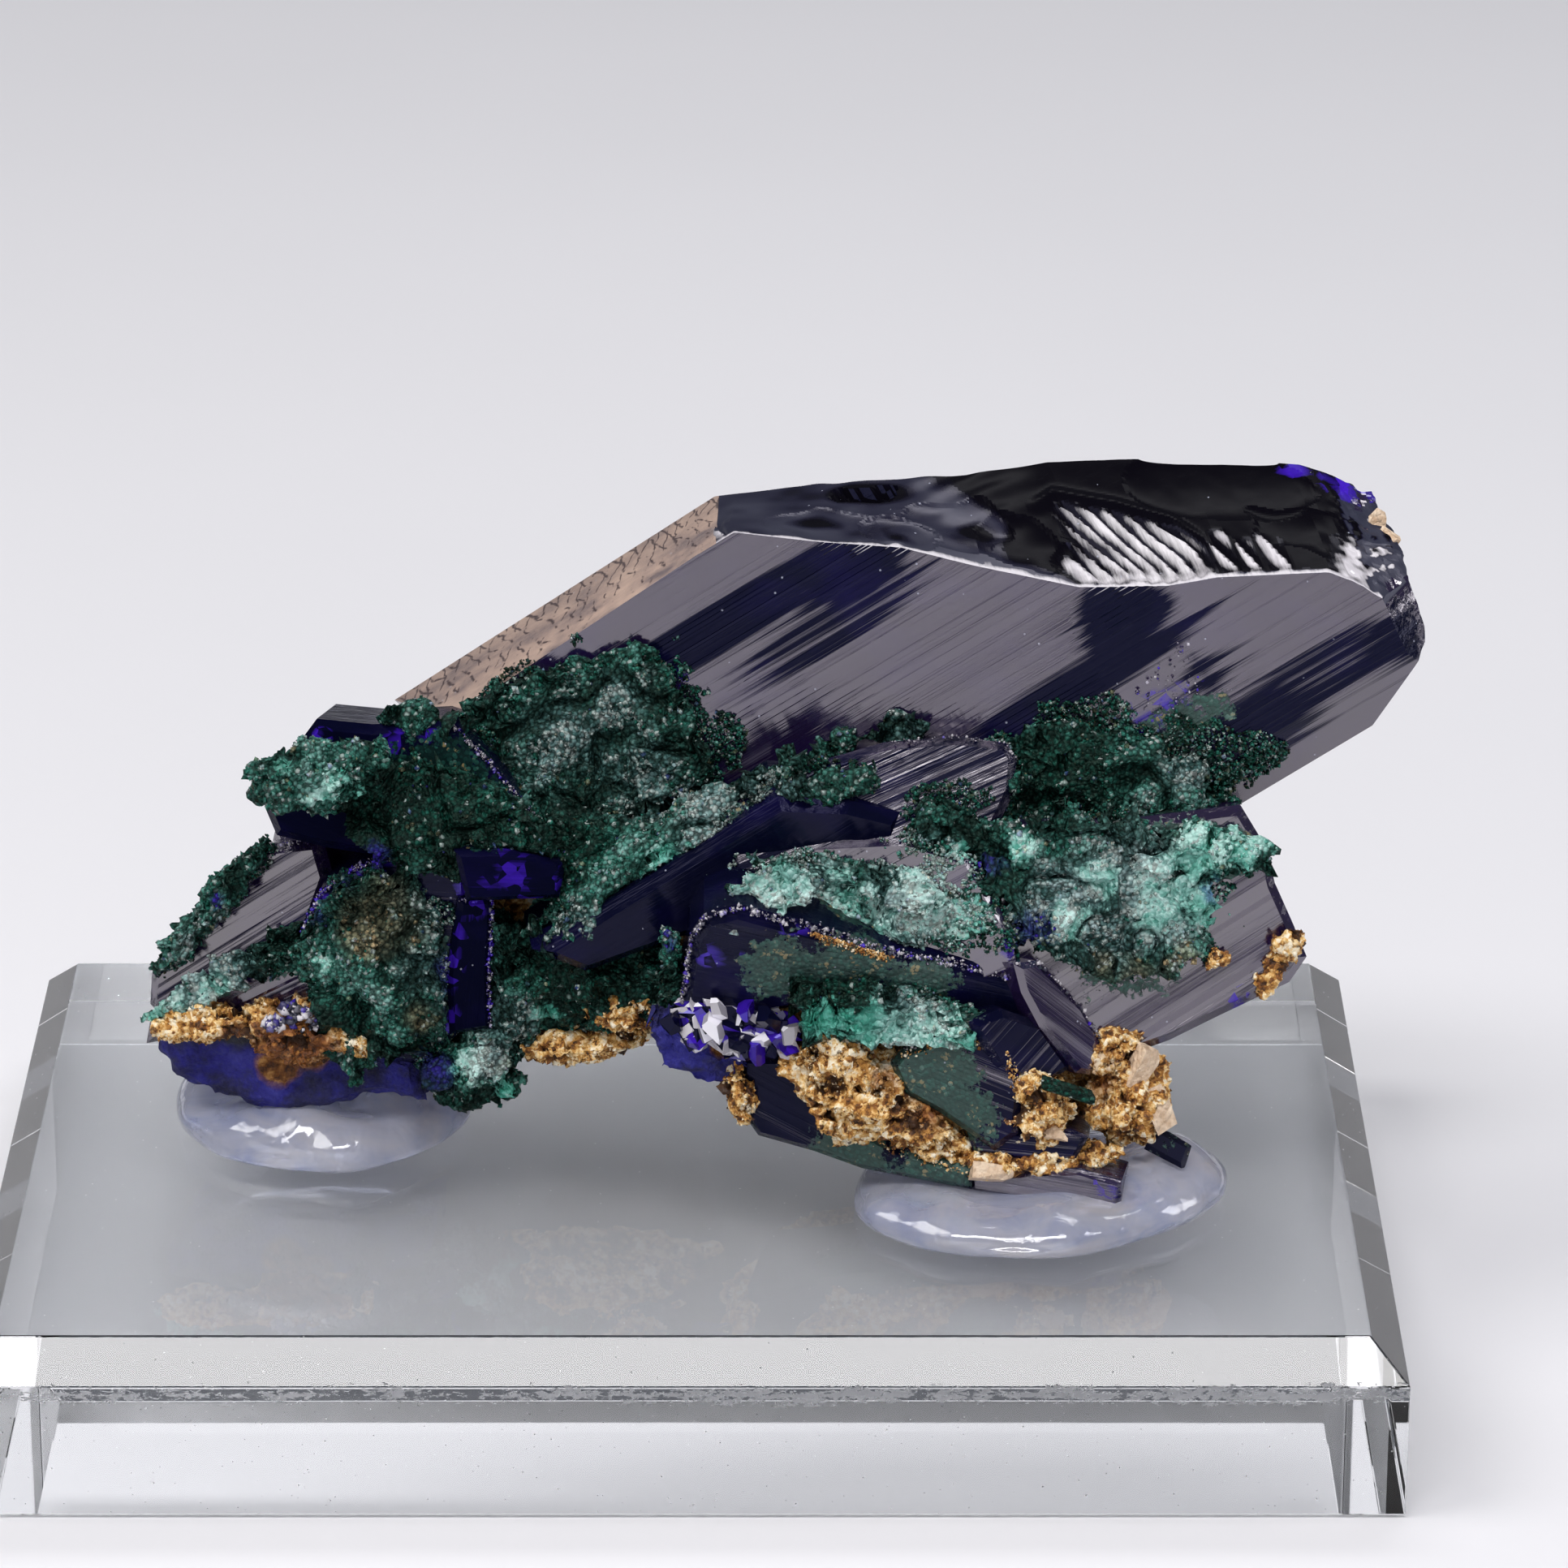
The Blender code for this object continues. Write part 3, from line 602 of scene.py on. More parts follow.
def acrylicMaterial():
    look = Shader("clear acrylic", Transmission_Weight=1.0, IOR=1.49)
    axes = look.axes()
    # most scuffs lie on the front, just under the chamfer
    scuffLevel, front = 7.15, -25.2  # mm
    fromLevel = look.math("ABSOLUTE", look.less(axes["Z"], scuffLevel))
    worn = look.math("SUBTRACT", 1.0, look.times(fromLevel, 1.5), clamp=True)
    worn = look.times(worn, look.math("LESS_THAN", axes["Y"], front))
    scratch = look.noise((1.6, 1.0, 4.0), 5, 0.75, warp=0.6)
    patchy = look.noise((0.16, 1.0, 0.5), 3, 0.6)
    both = look.math("ADD", look.times(scratch, 0.62), look.times(patchy, 0.38))
    mark = look.ramp(look.scaled(worn, 0.13, both), ((0.605, 0.0), (0.635, 1.0)))
    mark = look.times(mark, look.math("GREATER_THAN", worn, 0.02))
    dust = look.math("LESS_THAN", look.cells(1.1), 0.052)
    mark = look.math("MAXIMUM", mark, look.times(dust, 0.8))
    look.set("Base Color", look.mix(mark, (0.975, 0.99, 1.0), (0.90, 0.90, 0.92)))
    look.set("Roughness", look.scaled(mark, 0.55, 0.003))
    look.set("Normal", look.bump(mark, 0.00003, 0.5))
    return look.material


azurite = azuriteMaterial("azurite", 0.72)
# a nearly mirrorless copy, for the painted black of the break and three crystals kept dark as painted shade
dimAzurite = azuriteMaterial("dim azurite", 0.04)
malachite = malachiteMaterial()
limonite = limoniteMaterial()
blueEarth = blueEarthMaterial()
setGlue = glueMaterial()
acrylic = acrylicMaterial()
print("materials made")


# Azurite crystals. Sizes in mm: at is a point on the face, face its outline along and across the crystal.
# cuts is the width of one striation, relief its depth, shade how dark its reflection is painted.

mainBlade = {
    "at": (13.4, 0.5, 38.8), "turn": -4, "lean": 6, "rise": 33,
    "thick": 7.5, "cuts": (0.16, 0.42), "tread": 0.05, "shade": 0.16,
    # its widest outline, and the one at its back
    "outline": [(-24.8, 10.4), (-6.0, 11.2), (24.5, 12.5), (24.6, -9.6), (23.2, -13.6), (17.6, -16.8),
                (2.2, -17.1), (-11.0, -17.3), (-20.4, -13.6), (-26.1, -2.2)],
    "backOutline": [(-28.6, 11.5), (-7.1, 12.0), (24.5, 13.4), (24.0, -6.3), (22.3, -12.9),
                    (17.8, -15.4), (2.4, -15.4), (-11.2, -15.6), (-19.1, -11.4), (-26.1, -0.3)],
    # planes that cut the lower edge and the right end: a point and the way out
    "bevels": [((0, -13.6, 0), (0, -0.532, 0.847)), ((22.1, -10, 0), (0.75, -0.1, 0.65))],
    # the break: how far across it lies, along the blade, at three depths
    "broken": {
        0.0: [(-5.7, 11.1), (-2.4, 8.5), (1.5, 5.7), (4.3, 2.8), (8.5, -1.2), (12.6, -3.6), (15.1, -4.6),
              (20.4, -7.5), (22.0, -10.0), (26.0, -16.0)],
        2.2: [(-6.0, 11.4), (-2.3, 8.9), (1.6, 6.3), (4.6, 3.7), (8.8, 0.4), (12.9, -2.1), (15.8, -3.4),
              (20.6, -6.3), (23.9, -10.1), (26.0, -13.5)],
        7.5: [(-7.1, 12.0), (-2.2, 9.8), (1.8, 7.7), (5.3, 5.8), (9.5, 4.1), (13.7, 1.7), (17.5, -0.6),
              (21.1, -3.2), (23.8, -6.3), (26.0, -9.5)],
    },
    # hollows in the break: middle (along, depth), half sizes, how deep
    "scallops": [((1.6, 1.8), (1.5, 1.3), 0.30), ((4.4, 3.4), (2.2, 2.0), 0.38),
                 ((6.9, 2.6), (2.2, 2.2), 0.45),
                 ((9.2, 1.0), (1.5, 1.1), 0.40), ((-1.5, 2.2), (2.6, 1.8), 0.20),
                 ((13.0, 0.6), (1.6, 0.8), 0.28),
                 ((20.0, 3.4), (2.4, 1.8), 0.35)],
    "pit": ((0.4, 6.0), (1.7, 1.0), 1.5),
    "blackHollow": ((17.0, 5.9), (4.4, 2.3), 0.55),
    # the fan of silvery ribs: where it lies along, and how far in its ribs reach at some places along
    "fan": {"from": 8.6, "to": 15.4, "reachAt": (8.0, 9.2, 12.0, 14.2, 15.6),
            "reach": (4.6, 5.2, 4.4, 3.4, 1.8),
            "spacing": 0.80, "height": 0.36, "sag": 0.42, "crest": 0.32},
    # the sheet that cuts the break: its reach along and in depth, how far up it goes, its grid
    "cutter": {"along": (-8.0, 26.0), "depth": (-0.8, 8.6), "up": 30, "mesh": (270, 76),
               "quick": (110, 34)},
    # along the blade: where the break starts, where its faces do, where the tan side ends, and where the
    # right end turns sugary; then the ragged end's start along and across
    "breakFrom": -7.2, "brokenFrom": -6.9, "tanUpTo": -5.6, "sugaryFrom": 20.2,
    "raggedFrom": (21.5, -4),
    # violet light at the break's rear right: along, depth, radius, and the part of the rear edge
    "rearGlow": (22.6, 7.2, 2.2), "rearEdge": (18.5, 26.0),
    "acrossLimits": (-18.0, 13.5),
    "alongLimits": (-29, 26),
    # small fans: from and to along, up to which depth, how far they lean
    "smallFans": [(7.9, 9.9, 2.1, 0.6), (15.3, 16.5, 3.1, 0.5), (17.5, 18.9, 2.9, 0.35),
                  (16.5, 17.5, 2.6, 0.4), (-7.2, -6.2, 2.9, 0.3)],
    # painted dark reflections on the face: middle, half length, half width, strength
    "paintedDarkAreas": [(-9.5, 7.1, 10.0, 1.35, 1.0), (-1.2, 6.2, 3.4, 2.0, 1.0), (-4.0, 4.0, 7.0, 1.8, 0.62),
                  (9.6, -3.9, 2.6, 2.4, 1.0), (5.2, -5.9, 7.6, 1.15, 1.0), (11.8, -8.6, 1.7, 1.6, 0.6),
                  (17.0, -12.6, 7.5, 1.3, 0.66), (12.5, -12.8, 4.0, 2.2, 0.9),
                  (21.4, -12.6, 2.0, 1.5, 0.8), (17.0, -11.0, 6.0, 0.5, 0.75),
                  (2.0, -11.5, 9.0, 3.0, 0.75), (-20.0, 4.5, 5.0, 4.0, 0.55)],
    # violet light near the malachite: along, across, radius
    "glowSpots": [(-17.2, 7.9, 1.3), (-13.4, 5.6, 1.3), (-14.9, 2.3, 1.0), (7.7, -9.0, 2.0),
                  (10.0, -9.6, 1.6)],
}

blades = {
    "middleStriated": {
        "at": (13.4, -3.5, 32.9), "turn": 5, "lean": 28, "rise": 22, "thick": 5.5, "bevel": 0.5,
        "cuts": (0.12, 0.4), "relief": 0.08, "shade": 0.55,
        "face": [(-11.5, 3.1), (-8.7, 3.6), (-5.2, 3.4), (-1.6, 2.9), (2.1, 1.6), (4.4, 0.2),
                 (4.6, -0.8), (3.7, -2.4), (1.7, -4.1), (-4.1, -4.0), (-12.1, -0.5)],
    },
    "middleDark": {
        "at": (4.6, -6.0, 30.1), "turn": 8, "lean": -4, "rise": 31, "thick": 5.5, "bevel": 0.6,
        "cuts": (0.3, 0.9), "relief": 0.03, "shade": 1.0,
        "face": [(-14.0, 1.6), (1.7, 2.0), (4.7, -0.3), (6.7, -2.6), (5.6, -4.6), (3.3, -4.0),
                 (-0.9, -2.9), (-4.9, -2.8), (-12.3, -1.2)],
    },
    "archedBlade": {
        "at": (9.0, -7.0, 27.3), "turn": -5, "lean": 22, "rise": 30, "thick": 4.5, "bevel": 0.4,
        "cuts": (0.12, 0.4), "relief": 0.06, "shade": 0.22,
        "face": [(-7.4, 3.0), (-5.7, 4.4), (-3.6, 4.5), (-0.6, 3.8), (4.1, 1.6), (6.6, -1.0),
                 (6.8, -5.0), (6.0, -7.6), (1.4, -6.9), (-5.5, -2.2)],
    },
    "frontRoof": {
        "at": (6.8, -9.6, 25.1), "turn": 0, "lean": -12, "rise": -14, "thick": 5.0, "bevel": 0.6,
        "cuts": (0.2, 0.7), "relief": 0.05, "shade": 1.0,
        "face": [(-6.1, -4.9), (-6.6, -0.5), (-6.2, 1.1), (-4.6, 2.1), (-0.4, 1.8), (4.2, 1.2),
                 (8.6, 1.3), (11.8, 0.9), (13.2, -1.3), (9.6, -2.4), (5.2, -2.8), (0.8, -3.4),
                 (-3.1, -5.4)],
    },
    "frontEnd": {
        "at": (19.9, -9.3, 22.1), "turn": 35, "lean": 15, "rise": -45, "thick": 4.0, "bevel": 0.3,
        "cuts": (0.2, 0.6), "relief": 0.03, "shade": 0.1,
        "face": [(-3.5, 0.5), (-2.4, 1.4), (1.6, 0.9), (3.9, 0.0), (4.3, -1.8), (3.4, -2.2),
                 (-0.1, -1.4), (-2.2, -0.5)],
    },
    "rightPlate": {
        "at": (24.3, -6.5, 23.7), "turn": 6, "lean": 14, "rise": 30, "thick": 5.5, "bevel": 0.5,
        "cuts": (0.15, 0.5), "relief": 0.06, "shade": 0.24,
        "face": [(-3.1, 9.3), (-1.4, 9.4), (3.8, 6.5), (9.1, 4.0), (9.1, 1.3), (8.5, -0.7), (8.2, -3.1),
                 (7.9, -5.1), (6.4, -5.8), (2.1, -5.3), (-0.8, -5.0), (-3.5, -4.4), (-5.6, -0.7),
                 (-6.9, 4.4)],
    },
    "lowTablet": {
        "at": (14.6, -10.5, 17.8), "turn": -6, "lean": 6, "rise": -20, "thick": 5.0, "bevel": 0.4,
        "cuts": (0.2, 0.6), "relief": 0.04, "shade": 0.6,
        "face": [(-3.8, -0.2), (-3.5, 0.8), (-0.6, 3.4), (1.8, 3.2), (3.3, 1.3), (4.0, -1.3),
                 (3.2, -2.7), (-0.3, -1.8), (-2.5, -1.5)],
    },
    "lowFacets": {
        "at": (18.1, -10.2, 20.1), "turn": 22, "lean": 10, "rise": 40, "thick": 5.0, "bevel": 0.4,
        "cuts": (0.2, 0.7), "relief": 0.03, "shade": 0.7,
        "face": [(-1.1, 3.3), (0.7, 2.3), (1.7, 0.0), (1.2, -3.2), (-0.9, -2.6), (-1.8, 0.1)],
    },
    "lowLedge": {
        "at": (18.6, -10.6, 14.5), "turn": -4, "lean": 14, "rise": -4, "thick": 4.5, "bevel": 0.3,
        "cuts": (0.2, 0.6), "relief": 0.04, "shade": 0.6,
        "face": [(-3.5, 0.3), (2.1, 1.0), (3.1, 0.7), (2.5, -0.6), (1.4, -1.1), (-3.0, -0.9)],
    },
    "lowPrism": {
        "at": (19.6, -11.2, 12.1), "turn": -10, "lean": 6, "rise": -6, "thick": 3.6, "bevel": 0.3,
        "cuts": (0.2, 0.5), "relief": 0.04, "shade": 0.4,
        "face": [(-4.4, 0.0), (1.5, 1.4), (3.8, 1.1), (4.0, -0.5), (3.3, -0.8), (0.6, -0.9),
                 (-4.2, -1.0)],
    },
    "lowKeel": {
        "at": (5.1, -8.6, 15.9), "turn": -12, "lean": 4, "rise": -24, "thick": 5.5, "bevel": 0.4,
        "cuts": (0.2, 0.7), "relief": 0.04, "shade": 0.75,
        "face": [(-3.2, 1.4), (-0.2, 3.0), (2.5, 1.0), (6.7, 0.9), (10.8, 1.8), (11.3, 0.6), (5.5, -1.3),
                 (2.8, -1.7), (-0.3, -2.4), (-1.2, -1.9)],
    },
    "leftBlade": {
        "at": (-24.2, -0.8, 23.5), "turn": -14, "lean": 18, "rise": 36, "thick": 5.5, "bevel": 0.6,
        "cuts": (0.2, 0.8), "relief": 0.03, "shade": 0.36,
        "face": [(-6.4, 0.1), (-4.8, 0.7), (-2.5, 1.4), (2.9, 2.9), (6.0, 1.5), (5.4, -0.7), (2.7, -2.8),
                 (-3.5, -2.6), (-7.2, -2.2), (-7.4, -1.3)],
    },
    "leftFoot": {
        "at": (-24.7, -2.6, 19.0), "turn": -8, "lean": 4, "rise": 30, "thick": 5.0, "bevel": 0.5,
        "cuts": (0.12, 0.4), "relief": 0.06, "shade": 0.28,
        "face": [(-4.8, 1.4), (-1.4, 2.2), (2.7, 2.1), (6.0, 1.2), (3.8, -3.7), (1.0, -2.9),
                 (-2.4, -0.8), (-5.8, 0.2)],
    },
    "leftRoof": {
        "at": (-15.1, -2.0, 31.7), "turn": -10, "lean": 12, "rise": -20, "thick": 5.5, "bevel": 0.5,
        "cuts": (0.3, 0.9), "relief": 0.05, "shade": 0.9,
        "face": [(-6.0, 1.4), (-3.0, 2.4), (0.9, 4.4), (3.5, 3.3), (6.3, 1.8), (9.4, -0.1), (5.6, -2.1),
                 (1.5, -3.8), (-2.9, -5.0), (-5.7, -5.5), (-6.9, -4.3), (-6.8, -1.7)],
    },
    "roundCrystal": {
        "at": (-16.3, -3.8, 22.2), "turn": -6, "lean": 2, "rise": 0, "thick": 5.5, "bevel": 0.4,
        "cuts": (0.4, 0.9), "relief": 0.08, "shade": 0.8,
        "face": [(-4.6, 1.5), (-3.6, 3.9), (-1.5, 5.6), (0.8, 6.4), (4.5, 6.6), (4.7, 0.4), (3.7, -4.4),
                 (1.9, -6.2), (-0.3, -5.9), (-2.5, -4.2), (-4.1, -1.9)],
    },
    "barCrystal": {
        "at": (-9.4, -5.3, 27.9), "turn": 4, "lean": 2, "rise": -4, "thick": 5.0, "bevel": 0.3,
        "cuts": (0.15, 0.4), "relief": 0.04, "shade": 0.85,
        "face": [(-3.1, 1.3), (-0.5, 1.5), (2.6, 1.0), (2.9, 0.5), (2.7, -1.2), (-2.3, -1.6)],
    },
    "postCrystal": {
        "at": (-11.7, -4.6, 22.3), "turn": 10, "lean": 0, "rise": 85, "thick": 5.0, "bevel": 0.3,
        "cuts": (0.15, 0.4), "relief": 0.04, "shade": 0.85,
        "face": [(3.9, 0.9), (4.0, -1.0), (-0.5, -1.1), (-3.8, -1.4), (-4.2, 0.8), (-0.5, 1.2)],
    },
    "backBlade": {
        "at": (16.0, 11.2, 25.0), "turn": 172, "lean": 12, "rise": -28, "thick": 4.0, "bevel": 0.5,
        "cuts": (0.15, 0.6), "relief": 0.06, "shade": 0.25,
        "face": [(-10.5, 0.6), (-8.8, 3.4), (4.5, 4.2), (8.2, 2.4), (9.6, -0.8), (7.8, -3.0),
                 (-6.0, -4.4), (-9.6, -3.2)],
    },
    "backPlate": {
        "at": (-6.0, 10.4, 22.5), "turn": 186, "lean": 18, "rise": 24, "thick": 4.2, "bevel": 0.5,
        "cuts": (0.15, 0.6), "relief": 0.06, "shade": 0.3,
        "face": [(-8.2, -2.0), (-7.4, 2.2), (-1.5, 4.6), (5.0, 3.8), (7.8, 0.6), (6.6, -3.2),
                 (-1.0, -4.8)],
    },
    "backStub": {
        "at": (-19.5, 6.6, 26.0), "turn": 200, "lean": 8, "rise": -40, "thick": 4.5, "bevel": 0.4,
        "cuts": (0.2, 0.6), "relief": 0.05, "shade": 0.35,
        "face": [(-5.4, -1.6), (-5.0, 1.8), (2.6, 2.6), (4.8, 0.8), (4.2, -1.9)],
    },
}


closeBy = 0.02  # mm: nearer to a face than this counts as on it


def signedArea(outline):
    return sum(a[0] * b[1] - b[0] * a[1] for a, b in zip(outline, outline[1:] + outline[:1]))


def outlineSlab(name, outline, top, bottom, under=None):
    # a slab with the outline's corners, lying across Z, in mm; under is the outline at its bottom
    under = under or outline
    if signedArea(outline) < 0:
        outline, under = outline[::-1], under[::-1]
    deselect()
    bpy.ops.mesh.primitive_circle_add(vertices=len(outline), radius=1, fill_type="NGON")
    slab = bpy.context.object
    slab.name = name
    for vertex, (x, y) in zip(slab.data.vertices, outline):
        vertex.co = (x, y, top)
    edit(slab)
    bpy.ops.mesh.select_all(action="SELECT")
    bpy.ops.mesh.extrude_region_move(TRANSFORM_OT_translate={"value": (0, 0, bottom - top)})
    faceOutwards()
    if under is not outline:
        for (x, y), (underX, underY) in zip(outline, under):
            for vertex in slab.data.vertices:
                if abs(vertex.co.z - bottom) < 1e-4 and math.dist(vertex.co.xy, (x, y)) < 1e-3:
                    vertex.co = (underX, underY, bottom)
                    break
    return slab


def bevelRim(slab, level, width):
    # chamfers the rim that lies at one level
    markEdges(slab, lambda height: abs(height - level) < 1e-4)
    bpy.ops.mesh.bevel(offset=width, segments=1, affect="EDGES", clamp_overlap=True)
    leaveEdit()


def cutAcross(slab, places, direction):
    edit(slab)
    for place in places:
        bpy.ops.mesh.select_all(action="SELECT")
        bpy.ops.mesh.bisect(plane_co=[place * part for part in direction], plane_no=direction)
    leaveEdit()


def sliceOff(slab, place, direction):
    # takes away what lies beyond a plane, and closes the cut
    edit(slab)
    bpy.ops.mesh.select_all(action="SELECT")
    bpy.ops.mesh.bisect(plane_co=place, plane_no=direction, clear_outer=True, use_fill=True)
    leaveEdit()


def steps(rng, low, high, narrow, wide):
    place = low
    while True:
        place += rng.uniform(narrow, wide)
        if place >= high:
            return
        yield place


def striate(slab, relief, shift, thick):
    # raises and lowers the cut lines, so that each strip is a facet of its own
    for vertex in slab.data.vertices:
        x, y, z = vertex.co
        ridge = noise.noise((x * 0.03, y * 2.1, shift)) + 0.5 * noise.noise((x * 0.06, y * 6.3, shift + 9))
        if abs(z) < closeBy:
            vertex.co.z += relief * ridge
        elif abs(z + thick) < closeBy:
            vertex.co.z -= relief * ridge


def growBlade(name, plan, number):
    rng = random.Random(number)
    outline = plan["face"]
    thick = plan["thick"]
    slab = outlineSlab(name, outline, 0.0, -thick)
    bevelRim(slab, 0.0, plan["bevel"])
    bevelRim(slab, -thick, plan["bevel"])
    across = [y for _, y in outline]
    alongs = [x for x, _ in outline]
    cutAcross(slab, list(steps(rng, min(across), max(across), *plan["cuts"])), (0, 1, 0))
    cutAcross(slab, list(steps(rng, min(alongs), max(alongs), 0.9, 1.5)), (1, 0, 0))
    cutAcross(slab, [-0.25 * thick, -0.5 * thick, -0.75 * thick], (0, 0, 1))
    striate(slab, plan["relief"], number * 3.7, thick)
    setValues(slab, "grain", points(slab) + (number * 40.0, 0, 0), "FLOAT_VECTOR")
    setValues(slab, "shade", np.full(len(slab.data.vertices), plan["shade"]))
    placeOnFace(slab, plan)
    return slab


grown = {name: growBlade(name, plan, number) for number, (name, plan) in enumerate(blades.items())}
print("blades grown")


# The large blade: a slab with a bevelled lower edge, and its top broken away by a shaped cutter

def paintedDarkAt(along, across):
    # how dark the striated face's reflection is painted there
    dark = np.full(len(along), mainBlade["shade"])
    for x, y, halfLength, halfWidth, strength in mainBlade["paintedDarkAreas"]:
        far = np.hypot((along - x) / halfLength, (across - y) / halfWidth)
        dark = np.maximum(dark, strength * np.clip(1.55 - far, 0, 1))
    return dark


def windowed(values, low, high, soft):
    # 1 from low to high, falling softly to 0 at both
    return np.clip((values - low) / soft, 0, 1) * np.clip((high - values) / soft, 0, 1)


def hollowed(along, depth, middle, half, amount):
    # how far a round hollow lies below the break
    far = ((along - middle[0]) / half[0]) ** 2 + ((depth - middle[1]) / half[1]) ** 2
    return -amount * np.sqrt(np.clip(1 - far, 0, 1))


def bent(along, depth, spots, amount):
    # the places drawn out of shape, so that hollows aren't round
    return along + amount * softNoise(spots, 1.7, 4), depth + amount * softNoise(spots, 1.5, 6)


def brokenTop(along, depth):
    # how far across the blade the break lies, and how silvery it is
    edges = mainBlade["broken"]
    rows = [np.interp(along, *zip(*edges[level])) for level in sorted(edges)]
    middle, back = sorted(edges)[1:]
    height = np.where(depth < middle, rows[0] + (rows[1] - rows[0]) * depth / middle,
                      rows[1] + (rows[2] - rows[1]) * (depth - middle) / (back - middle))
    inside = np.clip(depth / 0.5, 0, 1)
    spots = np.stack([along, depth, height * 0.3], axis=1)

    # scalloped, shell-like hollows with fine arcs round them
    bentAlong, bentDepth = bent(along, depth, spots, 0.9)
    for middlePlace, half, amount in mainBlade["scallops"]:
        height += inside * hollowed(bentAlong, bentDepth, middlePlace, half, amount)
    reach = np.hypot((along - 11.0) * 0.85, depth + 1.5)
    arcs = np.sin(reach * 4.6 + 1.5 * softNoise(spots, 3.0, 3)) * windowed(along, -4.0, 9.5, 3.0)
    height += inside * (0.035 * arcs + 0.05 * roughNoise(spots, 2.6, 5))

    # a fan of silvery ribs that falls from the crest to the rim, with painted highlights on the ribs
    sweep = along + 0.30 * depth + 0.06 * depth ** 2 + 0.25 * softNoise(spots, 2.0, 8)
    ribs = mainBlade["fan"]
    reachUp = np.interp(along, ribs["reachAt"], ribs["reach"])
    fan = windowed(along, ribs["from"], ribs["to"], 0.8) * windowed(depth, 0.12, reachUp, 0.5)
    rib = (sweep / ribs["spacing"] + 0.3 * softNoise(spots, 3.0, 9)) % 1.0
    sag = ribs["sag"] * np.sin(np.pi * np.clip(depth / reachUp, 0, 1))
    height += fan * (ribs["height"] * rib - sag)
    crest = np.exp(-((depth - reachUp - 0.3) / 0.45) ** 2) * windowed(along, 7.6, 15.8, 1.4)
    height += ribs["crest"] * crest
    swoosh = np.clip(1.5 - depth / 0.9, 0, 1)
    # painted highlight: the silver grows with each rib's height, and along the swoosh at the rim
    silvery = np.clip(1.3 * rib + 0.02, 0, 1) * (0.80 + 0.4 * softNoise(spots, 1.2, 10))
    frostAndSheen = fan * np.maximum(silvery, swoosh * 1.1)

    # smaller fans further right and one under the crest
    for low, high, top, lean in mainBlade["smallFans"]:
        zone = windowed(along, low, high, 0.25) * windowed(depth, 0.05, top, 0.6)
        tooth = ((along + lean * depth - low) / (high - low)) % 1.0
        height += zone * 0.34 * (tooth - 0.4)
        frostAndSheen = np.maximum(frostAndSheen, zone * np.clip(tooth * 1.9 - 0.55, 0, 1.1))

    # the smooth black hollow behind the fans, and the deep pit at the top left
    height += inside * hollowed(along, depth, *mainBlade["blackHollow"])
    (pitAlong, pitDepth), (halfAlong, halfDepth), amount = mainBlade["pit"]
    jagged = 1 + 0.35 * softNoise(spots, 0.7, 12)
    height += hollowed(along, depth, (pitAlong, pitDepth), (halfAlong * jagged, halfDepth * jagged), amount)

    # sugary right end
    sugar = np.clip((along - mainBlade["sugaryFrom"] - 0.25 * depth) / 0.8, 0, 1)
    height += sugar * (0.26 * roughNoise(spots, 1.1, 17) + 0.10 * softNoise(spots, 0.35, 19))
    # painted sparkle on the sugary end
    sparkle = 0.85 + 0.9 * softNoise(spots, 0.35, 23)
    frostAndSheen = np.maximum(frostAndSheen, sugar * windowed(depth, -0.2, 3.6, 0.5) * sparkle)

    # white splintered rim along the face, with ticks reaching in from it
    rim = np.clip(1.4 - (depth - 0.02) / (0.26 + 0.16 * softNoise(spots, 0.5, 29)), 0, 1) * 1.2
    strands = np.stack([along * 5, depth * 0.6, depth * 0], axis=1)
    ticks = np.clip(softNoise(strands, 1.0, 31) * 2.2 - 0.55, 0, 1)
    ticks *= np.clip(1 - depth / (0.5 + 1.1 * np.clip(softNoise(spots, 1.8, 37), 0, 1)), 0, 1)
    frostAndSheen = np.maximum(frostAndSheen, np.where(depth > 0.01, np.maximum(rim, ticks), 0))
    return height, frostAndSheen


def breakShade(along, depth):
    # steel blue at the left; black, a painted shade, in the hollows and at the back right
    spots = np.stack([along, depth, depth * 0], axis=1)
    dark = 0.30 + 0.5 * softNoise(spots, 2.6, 13) + 0.25 * softNoise(spots, 0.9, 15)
    bentAlong, bentDepth = bent(along, depth, spots, 1.1)
    for middle, half, _ in mainBlade["scallops"]:
        far = np.hypot((bentAlong - middle[0]) / half[0], (bentDepth - middle[1]) / half[1])
        dark = np.maximum(dark, 1.0 - far + 0.6 * softNoise(spots, 1.4, 17))
    rightwards = bentAlong - 5.0 + 0.5 * bentDepth + 1.6 * roughNoise(spots, 2.4, 19)
    dark = np.maximum(dark, np.clip(rightwards / 3.0, 0, 1))
    (pitAlong, pitDepth), (halfAlong, halfDepth), _ = mainBlade["pit"]
    dark = np.maximum(dark, 2.0 - np.hypot((along - pitAlong) / halfAlong, (depth - pitDepth) / halfDepth))
    return np.clip(dark, 0, 1)


def cutterSheet():
    # a wavy sheet that follows the break, thickened upwards
    plan = mainBlade["cutter"]
    (low, high), (front, back) = plan["along"], plan["depth"]
    columns, rows = plan["mesh"]
    deselect()
    bpy.ops.mesh.primitive_grid_add(x_subdivisions=columns, y_subdivisions=rows, size=1)
    sheet = bpy.context.object
    flat = points(sheet)
    along = low + (flat[:, 0] + 0.5) * (high - low)
    depth = front + (flat[:, 1] + 0.5) * (back - front)
    height, _ = brokenTop(along, depth)
    setPoints(sheet, np.stack([along, height, -depth], axis=1))
    edit(sheet)
    bpy.ops.mesh.select_all(action="SELECT")
    bpy.ops.mesh.extrude_region_move(TRANSFORM_OT_translate={"value": (0, plan["up"], 0)})
    faceOutwards()
    return sheet


